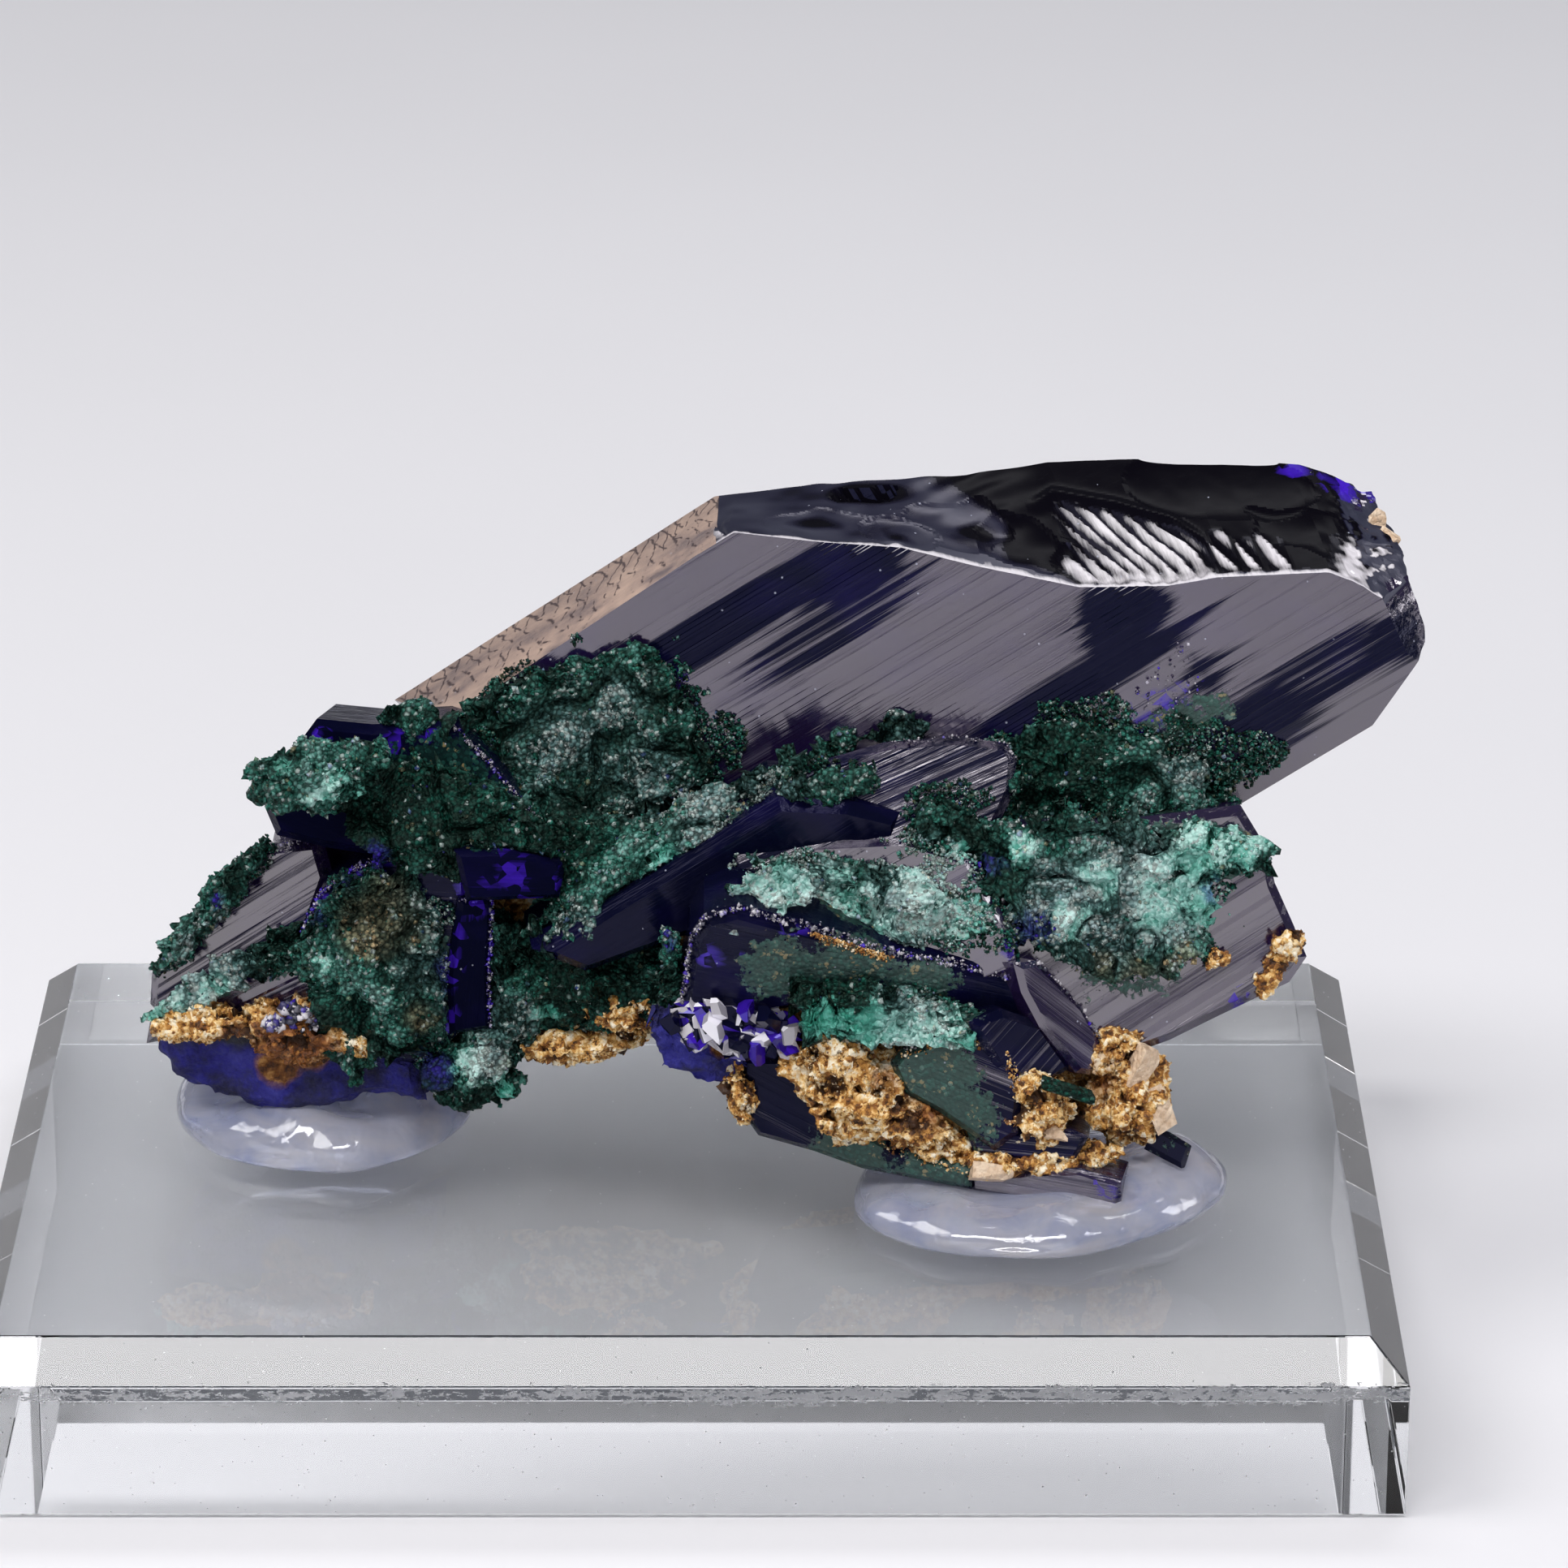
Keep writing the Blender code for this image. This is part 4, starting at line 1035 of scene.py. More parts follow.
def sawtooth(blade, starts, tread):
    # tips each strip of the face up a little, more where the reflection is painted dark
    co = points(blade)
    front = np.abs(co[:, 2]) < closeBy
    along, across = co[:, 0], co[:, 1]
    strip = np.clip(np.searchsorted(starts, across + 1e-4) - 1, 0, len(starts) - 2)
    width = starts[strip + 1] - starts[strip]
    inside = across - starts[strip]
    climb = np.where(inside < tread, 1 - inside / tread, (inside - tread) / np.maximum(width - tread, 1e-3))
    tilt = np.radians(1.0 + 6.5 * np.clip(paintedDarkAt(along, across) - 0.35, 0, 1))
    ridges = softNoise(np.stack([along * 0.04, across, across * 0], axis=1), 0.8, 41)
    swell = softNoise(np.stack([along * 0.25, across, across * 0], axis=1), 5.0, 43)
    drop = climb * width * np.tan(tilt) + 0.012 * ridges * (0.4 + paintedDarkAt(along, across)) + 0.05 * swell
    co[front, 2] -= np.clip(drop, 0, 0.3)[front]
    back = np.abs(co[:, 2] + mainBlade["thick"]) < closeBy
    co[back, 2] += (0.05 * np.clip(ridges, 0, 1))[back]
    setPoints(blade, co)


def growMainBlade():
    plan = mainBlade
    rng = random.Random(77)
    blade = outlineSlab("mainBlade", plan["outline"], 0.0, -plan["thick"], plan["backOutline"])
    for place, direction in plan["bevels"]:
        sliceOff(blade, place, direction)
    low, high = plan["acrossLimits"]
    starts = [low] + list(steps(rng, low, high, *plan["cuts"])) + [high]
    treads = [start + plan["tread"] for start in starts]
    cutAcross(blade, sorted(starts + treads), (0, 1, 0))
    cutAcross(blade, list(steps(rng, *plan["alongLimits"], 1.0, 1.9)), (1, 0, 0))
    sawtooth(blade, np.array(starts), plan["tread"])

    cutter = cutterSheet()
    pick(blade)
    cut = blade.modifiers.new("break", "BOOLEAN")
    cut.operation = "DIFFERENCE"
    cut.solver = "EXACT"
    cut.object = cutter
    applyModifiers(blade)
    bpy.data.objects.remove(cutter)

    # a ragged lower right end
    co = points(blade)
    endAlong, endAcross = plan["raggedFrom"]
    ragged = np.clip((co[:, 0] - endAlong) / 1.5, 0, 1) * np.clip((endAcross - co[:, 1]) / 2, 0, 1)
    co -= ragged[:, None] * np.stack([0.25 + 0.25 * roughNoise(co, 1.2, 47), 0.15 * softNoise(co, 0.8, 48),
                                      0.12 * softNoise(co, 0.6, 49)], axis=1)
    setPoints(blade, co)

    along, across, depth = co[:, 0], co[:, 1], -co[:, 2]
    height, frostAndSheen = brokenTop(along, depth)
    onBreak = (np.abs(across - height) < 0.12) & (along > plan["breakFrom"])
    setValues(blade, "grain", co, "FLOAT_VECTOR")
    shade = np.where(onBreak & (depth > 0.3), breakShade(along, depth), paintedDarkAt(along, across))
    setValues(blade, "shade", shade)
    setValues(blade, "frostAndSheen", np.where(onBreak, frostAndSheen, 0))
    middleAlong, middleDepth, radius = plan["rearGlow"]
    glow = np.clip(0.9 - np.hypot(along - middleAlong, depth - middleDepth) / radius, 0, 1)
    rear = np.clip((depth - 6.4) / 0.6, 0, 1) * windowed(along, *plan["rearEdge"], 1.5)
    glow = np.maximum(glow, rear * np.clip(0.55 + softNoise(co, 1.1, 50), 0, 1))
    for x, y, radius in plan["glowSpots"]:
        glow = np.maximum(glow, np.clip(1.2 - np.hypot(along - x, across - y) / radius, 0, 1) * 0.75)
    setValues(blade, "glow", glow)

    faces = blade.data.polygons
    middles, facing = vectorsOf(faces, "center"), vectorsOf(faces, "normal")
    heights, silvery = brokenTop(middles[:, 0], -middles[:, 2])
    edgeOn = np.abs(facing[:, 2]) < 0.96
    broken = edgeOn & (np.abs(middles[:, 1] - heights) < 0.5) & (middles[:, 0] > plan["brokenFrom"])
    sideFace = (facing[:, 1] > 0.7) & (middles[:, 0] < plan["tanUpTo"]) & ~broken
    # painted shade: the darkest faces of the break get the mirrorless material
    black = broken & (breakShade(middles[:, 0], -middles[:, 2]) > 0.85) & (silvery < 0.1)
    setValues(blade, "broken", broken.astype(float), domain="FACE")
    setValues(blade, "stain", sideFace.astype(float), domain="FACE")
    setValues(blade, "black", black.astype(float), domain="FACE")
    placeOnFace(blade, plan)
    return blade


mainCrystal = growMainBlade()
print("large blade grown and broken:", len(mainCrystal.data.polygons), "faces")


# Malachite and limonite. Each lump: middle, half sizes (along, across, out) and how it lies
# (turn, lean, rise), in mm and degrees.

malachiteLumps = {
    "upperFan": ((-6.4, 0.4, 33.0), (7.0, 4.6, 1.55), (-4, 6, 30)),
    "upperTuft": ((-3.7, 0.4, 36.3), (2.4, 2.0, 0.8), (-4, 6, 20)),
    "upperShoulder": ((-9.6, 0.6, 34.0), (3.2, 2.4, 1.1), (0, 8, 30)),
    "upperMound": ((-2.0, -0.6, 31.6), (3.6, 2.6, 2.0), (0, 10, 10)),
    "upperGully": ((-6.8, -1.6, 28.6), (4.2, 2.8, 2.6), (0, 10, -20)),
    "paleLump": ((-19.6, -4.2, 33.6), (3.4, 1.9, 2.5), (-10, 20, 12)),
    "roofCover": ((-13.4, -3.5, 30.4), (6.2, 2.8, 1.15), (-10, 20, -14)),
    "discFill": ((-16.7, -4.3, 22.0), (4.0, 5.4, 1.6), (-6, 2, 0)),
    "middleMass": ((-6.0, -2.6, 21.6), (5.6, 3.4, 3.6), (0, 0, -8)),
    "middleKnob": ((-2.4, -3.6, 20.9), (3.0, 2.2, 2.4), (0, 0, 0)),
    "bottomKnob": ((-11.8, -3.6, 15.7), (2.9, 2.1, 2.6), (0, 0, 4)),
    "rightMound": ((20.8, -1.2, 32.2), (4.6, 3.0, 2.2), (0, 10, 10)),
    "rightKnob": ((25.2, -1.8, 31.0), (3.4, 2.4, 1.9), (0, 10, 0)),
    "rightTuft": ((28.6, -0.4, 32.1), (2.4, 1.3, 0.9), (-4, 6, 33)),
    "plateCover": ((22.4, -6.4, 27.4), (6.4, 3.8, 0.85), (6, 14, -18)),
    "plateBrow": ((27.0, -5.2, 29.2), (4.2, 1.6, 1.5), (6, 20, -4)),
    "archCover": ((9.0, -7.1, 27.3), (7.0, 1.9, 0.62), (-5, 22, -8)),
    "roofHollow": ((11.0, -9.7, 22.2), (5.0, 1.2, 1.3), (0, 0, -7)),
    "leftRidge": ((-26.1, -0.6, 24.0), (4.4, 0.85, 2.1), (-14, 18, 53)),
    "leftStreak": ((-26.2, -3.4, 20.4), (3.4, 1.0, 0.62), (-10, 10, 30)),
    "darkTop": ((-0.6, -4.2, 29.6), (8.0, 1.3, 2.0), (8, 0, 31)),
    "striatedKnob": ((7.6, -4.9, 33.0), (2.6, 0.9, 0.9), (5, 28, 6)),
    "striatedFoot": ((13.8, -5.2, 31.0), (1.8, 1.6, 1.2), (5, 28, 0)),
    "frontEdge": ((-0.8, -8.0, 24.0), (0.5, 1.9, 1.4), (0, 0, 0)),
    "backMound": ((4.0, 8.6, 30.0), (6.6, 3.4, 2.2), (180, 10, 20)),
    "backKnob": ((-13.0, 7.0, 27.0), (4.6, 3.4, 2.6), (190, 10, -20)),
}

limoniteLumps = {
    "rightCore": ((12.6, -2.2, 17.4), (10.6, 4.4, 5.6), (0, 0, -12)),
    "middleCore": ((-5.0, 3.0, 21.0), (10.5, 3.4, 4.6), (0, 0, 2)),
    "leftCore": ((-20.4, 3.6, 19.6), (6.0, 4.6, 4.6), (0, 0, 10)),
    "upperCore": ((4.0, 3.4, 25.4), (12.0, 4.2, 4.6), (0, 0, 14)),
    "ochreHollow": ((10.4, -7.8, 16.2), (5.4, 2.6, 3.4), (0, 0, -26)),
    "ochreRight": ((24.0, -7.4, 15.8), (2.1, 2.8, 2.4), (0, 0, 0)),
    "ochreFront": ((18.8, -9.3, 16.4), (1.8, 2.4, 2.2), (0, 0, 10)),
    "ochreStrip": ((18.6, -9.6, 13.4), (4.2, 0.8, 1.5), (0, 0, 2)),
    "ochreLeft": ((3.0, -7.8, 16.6), (0.75, 1.7, 1.5), (0, 0, 12)),
    "bridgeKnob": ((-3.3, -4.2, 19.6), (1.9, 1.0, 1.8), (0, 0, 6)),
    "bridgeStrip": ((-6.0, -2.6, 17.2), (3.8, 1.0, 2.4), (0, 0, 4)),
    "rustBand": ((-20.9, -3.4, 17.9), (3.6, 1.6, 1.3), (-6, 0, -4)),
    "rustKnob": ((-26.4, -3.2, 18.3), (2.7, 0.9, 1.3), (-6, 0, 4)),
}

# thin green crusts that only the visual model has
malachiteExtras = {
    "archFoot": ((4.3, -8.7, 28.3), (2.7, 1.6, 0.9), (-5, 22, 30)),
    "archBrow": ((11.5, -8.0, 28.4), (2.6, 1.2, 0.9), (-5, 22, -20)),
    "gullyFloor": ((-5.0, -3.4, 28.0), (4.0, 1.8, 1.4), (0, 16, 24)),
    "postSide": ((-9.0, -4.2, 22.6), (2.0, 2.6, 1.3), (0, 4, 60)),
    "postBase": ((-9.8, -3.9, 19.2), (2.0, 1.9, 1.5), (0, 4, 0)),
    "mintStrip": ((11.0, -10.5, 21.2), (4.6, 0.9, 0.9), (0, 0, -5)),
    "leftGap": ((-21.9, -2.4, 21.9), (2.2, 1.6, 1.3), (0, 0, 30)),
    "plateGap": ((16.6, -5.4, 29.9), (1.9, 1.3, 1.3), (0, 0, 20)),
    "roofCap": ((-14.4, -0.8, 35.1), (2.2, 0.7, 0.8), (-10, 12, -6)),
    "striatedFan": ((11.7, -0.1, 34.3), (1.7, 1.05, 0.85), (-4, 6, 12)),
    "striatedFanLeft": ((8.1, 0.1, 33.2), (1.3, 0.6, 0.8), (-4, 6, 20)),
    "darkEnd": ((-5.9, -6.3, 25.0), (2.1, 1.1, 1.0), (8, -4, 31)),
}

# golden crusts that only the visual model has
limoniteExtras = {
    "ochreTail": ((12.4, -9.6, 15.4), (3.4, 1.3, 1.5), (0, 0, -32)),
    "ochreCrest": ((8.4, -9.4, 18.6), (2.2, 1.6, 1.6), (0, 0, -40)),
    "rustUnderPlate": ((23.0, -7.8, 18.9), (1.6, 1.2, 1.2), (0, 0, 20)),
    "plateStreak": ((31.9, -6.0, 23.0), (2.0, 0.62, 0.50), (6, 14, 57)),
    "plateStreakTop": ((32.7, -6.2, 24.6), (0.9, 0.50, 0.45), (6, 14, 30)),
    "plateDot": ((28.7, -6.6, 23.7), (0.62, 0.50, 0.42), (6, 14, 0)),
}

crusts = {
    "swell": 0.34,  # as in the part's source
    "parting": 1.5,  # X between the left crust and the right one
    # soft spots (x, y, z, radius), in mm
    "mint": [(27.7, -6.3, 29.8, 2.2), (25.9, -6.7, 28.3, 1.7), (30.1, -5.1, 29.7, 1.5),
             (17.9, -6.9, 30.2, 1.0), (15.0, -6.8, 29.6, 1.0), (28.2, -6.5, 26.6, 1.4),
             (6.1, -8.0, 28.9, 1.0), (3.3, -9.6, 28.0, 1.1), (8.6, -8.9, 26.6, 1.3),
             (10.4, -8.8, 25.9, 1.0), (14.0, -7.4, 28.6, 1.0), (12.0, -7.0, 29.2, 0.9),
             (24.0, -7.2, 28.8, 1.0), (21.4, -7.2, 30.4, 0.9), (-18.9, -5.6, 33.4, 1.0),
             (-21.4, -5.0, 33.8, 0.8), (-10.0, -5.4, 15.4, 1.1), (-28.2, -4.1, 19.2, 1.5),
             (-26.0, -4.3, 20.5, 1.5), (-12.0, -4.8, 18.0, 0.7), (-19.6, -5.2, 22.6, 0.7),
             (-11.8, -5.6, 16.8, 1.1), (4.9, -8.8, 28.6, 2.7), (8.2, -8.6, 27.2, 2.3),
             (12.8, -7.4, 28.0, 2.2), (14.6, -7.6, 26.6, 1.7), (-19.4, -6.2, 32.5, 1.0),
             (-17.6, -6.0, 32.8, 0.8), (22.4, -7.2, 28.6, 1.5), (20.6, -7.6, 26.4, 1.1),
             (25.4, -7.0, 26.8, 1.5), (7.0, -10.8, 22.0, 1.2), (9.8, -11.2, 21.4, 1.6),
             (12.8, -11.2, 21.2, 1.7), (15.4, -10.8, 21.2, 1.3), (-1.2, -5.8, 29.0, 1.1),
             (-10.9, -5.8, 17.6, 0.9), (-7.6, -5.0, 19.4, 0.9), (3.0, -5.8, 32.0, 0.7),
             (8.6, -10.9, 21.8, 0.9), (11.4, -11.0, 21.5, 1.1), (14.2, -11.0, 21.3, 0.8),
             (-19.2, -5.6, 32.6, 0.9)],
    "bright": [(7.0, -8.4, 27.8, 4.0), (-19.0, -5.6, 33.8, 3.4), (-18.6, -5.5, 20.6, 2.2),
               (12.4, -11.2, 21.5, 2.6), (-4.0, -5.0, 27.6, 2.4), (1.0, -5.6, 30.6, 2.2),
               (26.0, -6.0, 28.6, 4.5), (21.0, -7.0, 29.6, 3.0), (4.3, -9.4, 28.5, 2.4),
               (9.0, -8.6, 27.2, 2.6), (12.5, -8.6, 26.2, 2.4), (-27.0, -3.6, 20.4, 2.4),
               (-9.0, -2.8, 31.4, 1.6), (-11.0, -5.6, 16.8, 1.8), (-27.6, -2.2, 23.8, 2.8),
               (10.6, -8.4, 27.6, 4.5), (26.6, -7.2, 25.2, 2.0), (24.6, -4.0, 31.6, 1.6)],
    # crystals that the crusts leave clear
    "clear": ("barCrystal", "postCrystal"),
    "clearDepth": 0.6,
    "deep": [(-13.4, -4.8, 31.0, 4.8), (-7.4, -3.6, 28.8, 3.0), (-18.6, -5.6, 19.0, 1.6),
             (-6.2, -3.0, 29.2, 2.6), (-12.0, -4.4, 29.0, 2.4), (-16.5, -4.6, 29.6, 2.6),
             (-10.2, -4.6, 30.4, 2.0), (-6.0, -5.5, 22.6, 2.8), (20.2, -3.6, 32.4, 2.8),
             (-5.9, -1.7, 31.1, 1.5), (-7.6, -3.4, 29.4, 1.4), (8.0, -10.6, 23.6, 2.6),
             (-13.6, -5.4, 18.6, 1.6)],
    "grey": [(-5.9, -7.0, 25.2, 1.8), (11.7, -0.8, 34.3, 1.4), (6.0, -8.6, 28.0, 3.4),
             (12.4, -7.6, 27.6, 3.2), (24.0, -7.0, 28.0, 4.2), (20.4, -7.2, 27.4, 2.6),
             (-3.6, -0.9, 36.0, 2.0), (4.0, -5.6, 32.8, 2.4), (-25.8, -4.0, 20.8, 3.0),
             (11.6, -11.2, 21.4, 2.6), (-6.3, -1.4, 33.4, 3.2), (-2.8, -2.3, 32.3, 2.4),
             (-13.8, -4.9, 25.9, 2.2), (22.6, -7.2, 26.8, 3.4), (-14.2, -5.5, 22.8, 1.6),
             (-12.9, -5.0, 19.5, 1.5), (2.0, -5.6, 31.2, 2.6), (-1.0, -1.8, 30.4, 2.0),
             (19.4, -7.6, 26.6, 1.8), (11.6, -9.0, 26.4, 2.0), (-9.8, -4.6, 19.4, 1.8),
             (-10.6, -5.4, 17.0, 1.4), (27.0, -2.0, 32.6, 1.4)],
    "tan": [(-16.2, -5.6, 25.4, 2.1), (-17.3, -5.6, 24.4, 1.3), (-14.6, -5.6, 19.6, 0.8),
            (26.8, -6.9, 23.6, 1.0), (24.2, -7.4, 23.2, 0.9), (-9.7, -5.6, 16.8, 0.8),
            (8.9, -10.0, 25.4, 1.0), (22.4, -7.4, 23.6, 0.7)],
    "violet": [(-25.6, -2.6, 25.0, 0.5), (-28.2, -3.0, 21.8, 0.5), (-19.8, -4.3, 25.4, 0.7),
               (-18.6, -4.3, 27.6, 0.6), (-16.6, -4.2, 28.6, 0.6), (-12.5, -4.9, 22.4, 0.9),
               (-12.4, -5.0, 20.4, 0.8), (18.6, -7.4, 25.6, 1.0), (-13.8, -5.4, 16.2, 1.1),
               (-0.8, -9.6, 26.0, 0.9), (16.2, -6.8, 29.6, 0.8), (28.6, -6.4, 27.6, 0.7),
               (-1.0, -9.6, 22.6, 0.7)],
    "rust": [(-21.3, -4.4, 17.4, 2.0), (-22.4, -4.2, 16.2, 1.6), (22.7, -7.4, 17.6, 1.5),
             (13.2, -9.6, 16.4, 1.3), (-24.6, -4.2, 18.0, 0.9), (10.9, -10.6, 18.6, 0.8)],
}


# how much smaller the lumps are made (along, across, out), the height of knobs, the height of crumbs,
# the depth of pits, how far the crust wanes in places, and its mesh size, in mm
crustPlans = {
    "malachiteLeft": ((-0.15, -0.10, 0.30), 0.30, 0.20, 0.8, 0.75, 0.21),
    "malachiteRight": ((-0.15, -0.10, 0.30), 0.23, 0.20, 0.8, 0.75, 0.21),
    "limoniteCore": ((0.3, 0.3, 0.3), 0.35, 0.25, 1.7, 0.0, 0.34),
    "limoniteMass": ((0.05, 0.05, 0.05), 0.34, 0.22, 2.0, 0.0, 0.15),
}


def lumpAxes(lie):
    return np.array(faceFrame(*lie))


def lumpBody(at, half, lie, shrink=(0, 0, 0)):
    # one knob, swollen and dented as in the part's source
    deselect()
    bpy.ops.mesh.primitive_ico_sphere_add(subdivisions=4, radius=1)
    knob = bpy.context.object
    ball = points(knob)
    spots = ball * 2.6 + np.array(at) * 7.3
    swell = [noise.noise(spot) + 0.5 * noise.noise(spot * 2.3) for spot in map(Vector, spots)]
    swollen = np.array(half) * (1 + crusts["swell"] * np.array(swell))[:, None] - shrink
    setPoints(knob, (ball * np.maximum(swollen, 0.2)) @ lumpAxes(lie).T + np.array(at))
    return knob


def near(places, lumps):
    # distance outwards from the nearest lump, in mm, roughly; less than 0 inside
    best = np.full(len(places), 99.0)
    for at, half, lie in lumps.values():
        reach = np.linalg.norm(((places - np.array(at)) @ lumpAxes(lie)) / np.array(half), axis=1)
        best = np.minimum(best, (reach - 1) * 0.5 * (half[0] + half[1]))
    return best


def spotField(places, spots):
    # 1 inside the soft spots, falling to 0 round them
    total = np.zeros(len(places))
    for x, y, z, radius in spots:
        total = np.maximum(total, np.clip(1.5 - np.linalg.norm(places - (x, y, z), axis=1) / radius, 0, 1))
    return total


def drawnBack(co, plan, depth):
    # what lies in front of a crystal's face goes behind it
    axes = np.array(planFrame(plan))
    own = (co - np.array(plan["at"])) @ axes
    low, high = np.min(plan["face"], axis=0), np.max(plan["face"], axis=0)
    within = np.all((own[:, :2] > low) & (own[:, :2] < high), axis=1)
    hides = within & (own[:, 2] > -depth)
    own[hides, 2] = -depth
    return own @ axes.T + np.array(plan["at"])


def crustMass(name, lumps, shrink, coarse, fine, pits, wane, voxel):
    # the lumps grown into one body, with knobs, crumbs, pits and crevices
    body = join(name, [lumpBody(*lump, shrink) for lump in lumps.values()])
    pick(body)
    body.data.remesh_voxel_size = voxel * 1
    bpy.ops.object.voxel_remesh()
    co, out = points(body), normalsOf(body)
    co -= out * (wane * np.clip(roughNoise(co, 3.4, 49) + 0.25, -0.3, 1))[:, None]
    knobs = roughNoise(co, 1.5, 51) * 0.8 + 0.9 * (0.5 - np.abs(softNoise(co, 0.85, 53)))
    crumbs = 0.6 - 1.6 * np.abs(softNoise(co, 0.42, 57))
    holes = np.clip(roughNoise(co, 0.9, 59) - 0.14, 0, 1) * pits
    crevices = np.clip(1.3 - np.abs(softNoise(co, 2.6, 45)) / 0.15, 0, 1) * wane
    move = coarse * knobs + fine * crumbs - holes - 0.95 * crevices
    co += out * move[:, None]
    for crystal in crusts["clear"]:
        co = drawnBack(co, blades[crystal], crusts["clearDepth"])
    setPoints(body, co)
    # how sunk each place is; the materials paint sunk places darker as painted shade
    hollow = np.clip(0.5 - move / (coarse + fine + 0.2 * pits) + 0.4 * crevices, 0, 1)
    return body, hollow


def paintMalachite(obj, places, tint, lot=None):
    # lot is a random value for each grain, which gives a grain one colour all over
    deep = spotField(places, crusts["deep"])
    tint = tint + 0.52 * spotField(places, crusts["bright"]) - 0.45 * deep
    setValues(obj, "tint", np.clip(tint, 0, 1.4))
    ragged = roughNoise(places, 1.1, 61)
    kinds = (("pale", "mint", 0.0, 1.0), ("grey", "grey", 0.14, 1.0), ("brown", "tan", 0.0, 0.8),
             ("glow", "violet", 0.0, 0.9))
    for name, kind, least, most in kinds:
        spot = spotField(places, crusts[kind])
        share = np.clip(spot * 1.25 - 0.25 + 0.6 * ragged * (spot > 0), 0, 1) * (most - least) + least
        if kind == "grey":
            share = share * (1 - 0.85 * deep)
        if lot is not None:
            share = np.clip((share - (lot * 7.31 + len(name) * 0.37) % 1.0) * 6 + 0.5, 0, 1)
        elif kind != "mint":
            share = share * 0.7
        setValues(obj, name, share)


def paintLimonite(obj, places, tint, hollow):
    setValues(obj, "tint", np.clip(tint, 0, 1.3))
    rust = spotField(places, crusts["rust"])
    setValues(obj, "brown", np.clip(1.3 * rust + 0.7 * roughNoise(places, 1.0, 63) * (rust > 0), 0, 1))
    # painted shade: sunk places are painted dark
    setValues(obj, "hollow", np.clip(hollow * 2.4 - 1.35, 0, 0.9))


malachiteMasses, hollows = [], []
allMalachite = {**malachiteLumps, **malachiteExtras}
for title, isRight in (("malachiteLeft", False), ("malachiteRight", True)):
    some = {name: lump for name, lump in allMalachite.items()
            if (lump[0][0] > crusts["parting"]) == isRight}
    mass, hollow = crustMass(title, some, *crustPlans[title])
    # painted shade: the crust's tint darkens in its hollows
    paintMalachite(mass, points(mass), 0.80 - 0.9 * hollow)
    setValues(mass, "hollow", hollow)
    malachiteMasses.append(mass)
    hollows.append(hollow)
cores = {name: lump for name, lump in limoniteLumps.items() if name.endswith("Core")}
visible = {name: lump for name, lump in {**limoniteLumps, **limoniteExtras}.items() if name not in cores}
limoniteCore, coreHollow = crustMass("limoniteCore", cores, *crustPlans["limoniteCore"])
limoniteMass, limoniteHollow = crustMass("limoniteMass", visible, *crustPlans["limoniteMass"])
# painted shade: the ochre's tint darkens in its hollows
for mass, hollow in ((limoniteCore, coreHollow), (limoniteMass, limoniteHollow)):
    paintLimonite(mass, points(mass), 0.95 - 0.8 * hollow, hollow)
crustPieces = malachiteMasses + [limoniteMass, limoniteCore]
print("crusts grown:", *[len(mass.data.polygons) for mass in crustPieces], "faces")


# Grains: tiny crystals strewn over the crusts, and ragged fringes of them on the blades

def triangles(obj, values=None):
    # the corners of its triangles, or the values there
    data = obj.data
    data.calc_loop_triangles()
    corners = np.empty(len(data.loop_triangles) * 3, dtype=np.int64)
    data.loop_triangles.foreach_get("vertices", corners)
    return (points(obj) if values is None else values)[corners.reshape(-1, 3)]


def strew(corners, count, rng):
    # random places on the triangles, spread by area, and the way out of the surface there
    across = np.cross(corners[:, 1] - corners[:, 0], corners[:, 2] - corners[:, 0])
    area = np.linalg.norm(across, axis=1)
    chosen = rng.choice(len(corners), count, p=area / area.sum())
    a, b = rng.random(count), rng.random(count)
    over = a + b > 1
    a[over], b[over] = 1 - a[over], 1 - b[over]
    triangle = corners[chosen]
    places = triangle[:, 0] + a[:, None] * (triangle[:, 1] - triangle[:, 0])
    places += b[:, None] * (triangle[:, 2] - triangle[:, 0])
    return places, across[chosen] / np.maximum(area[chosen], 1e-12)[:, None], chosen


# a grain is a stubby crystal with six corners and eight faces
grainCorners = [(1, 0, 0), (-1, 0, 0), (0, 1, 0), (0, -1, 0), (0, 0, 1), (0, 0, -1)]
grainFaces = [(0, 2, 4), (2, 1, 4), (1, 3, 4), (3, 0, 4), (2, 0, 5), (1, 2, 5), (3, 1, 5), (0, 3, 5)]


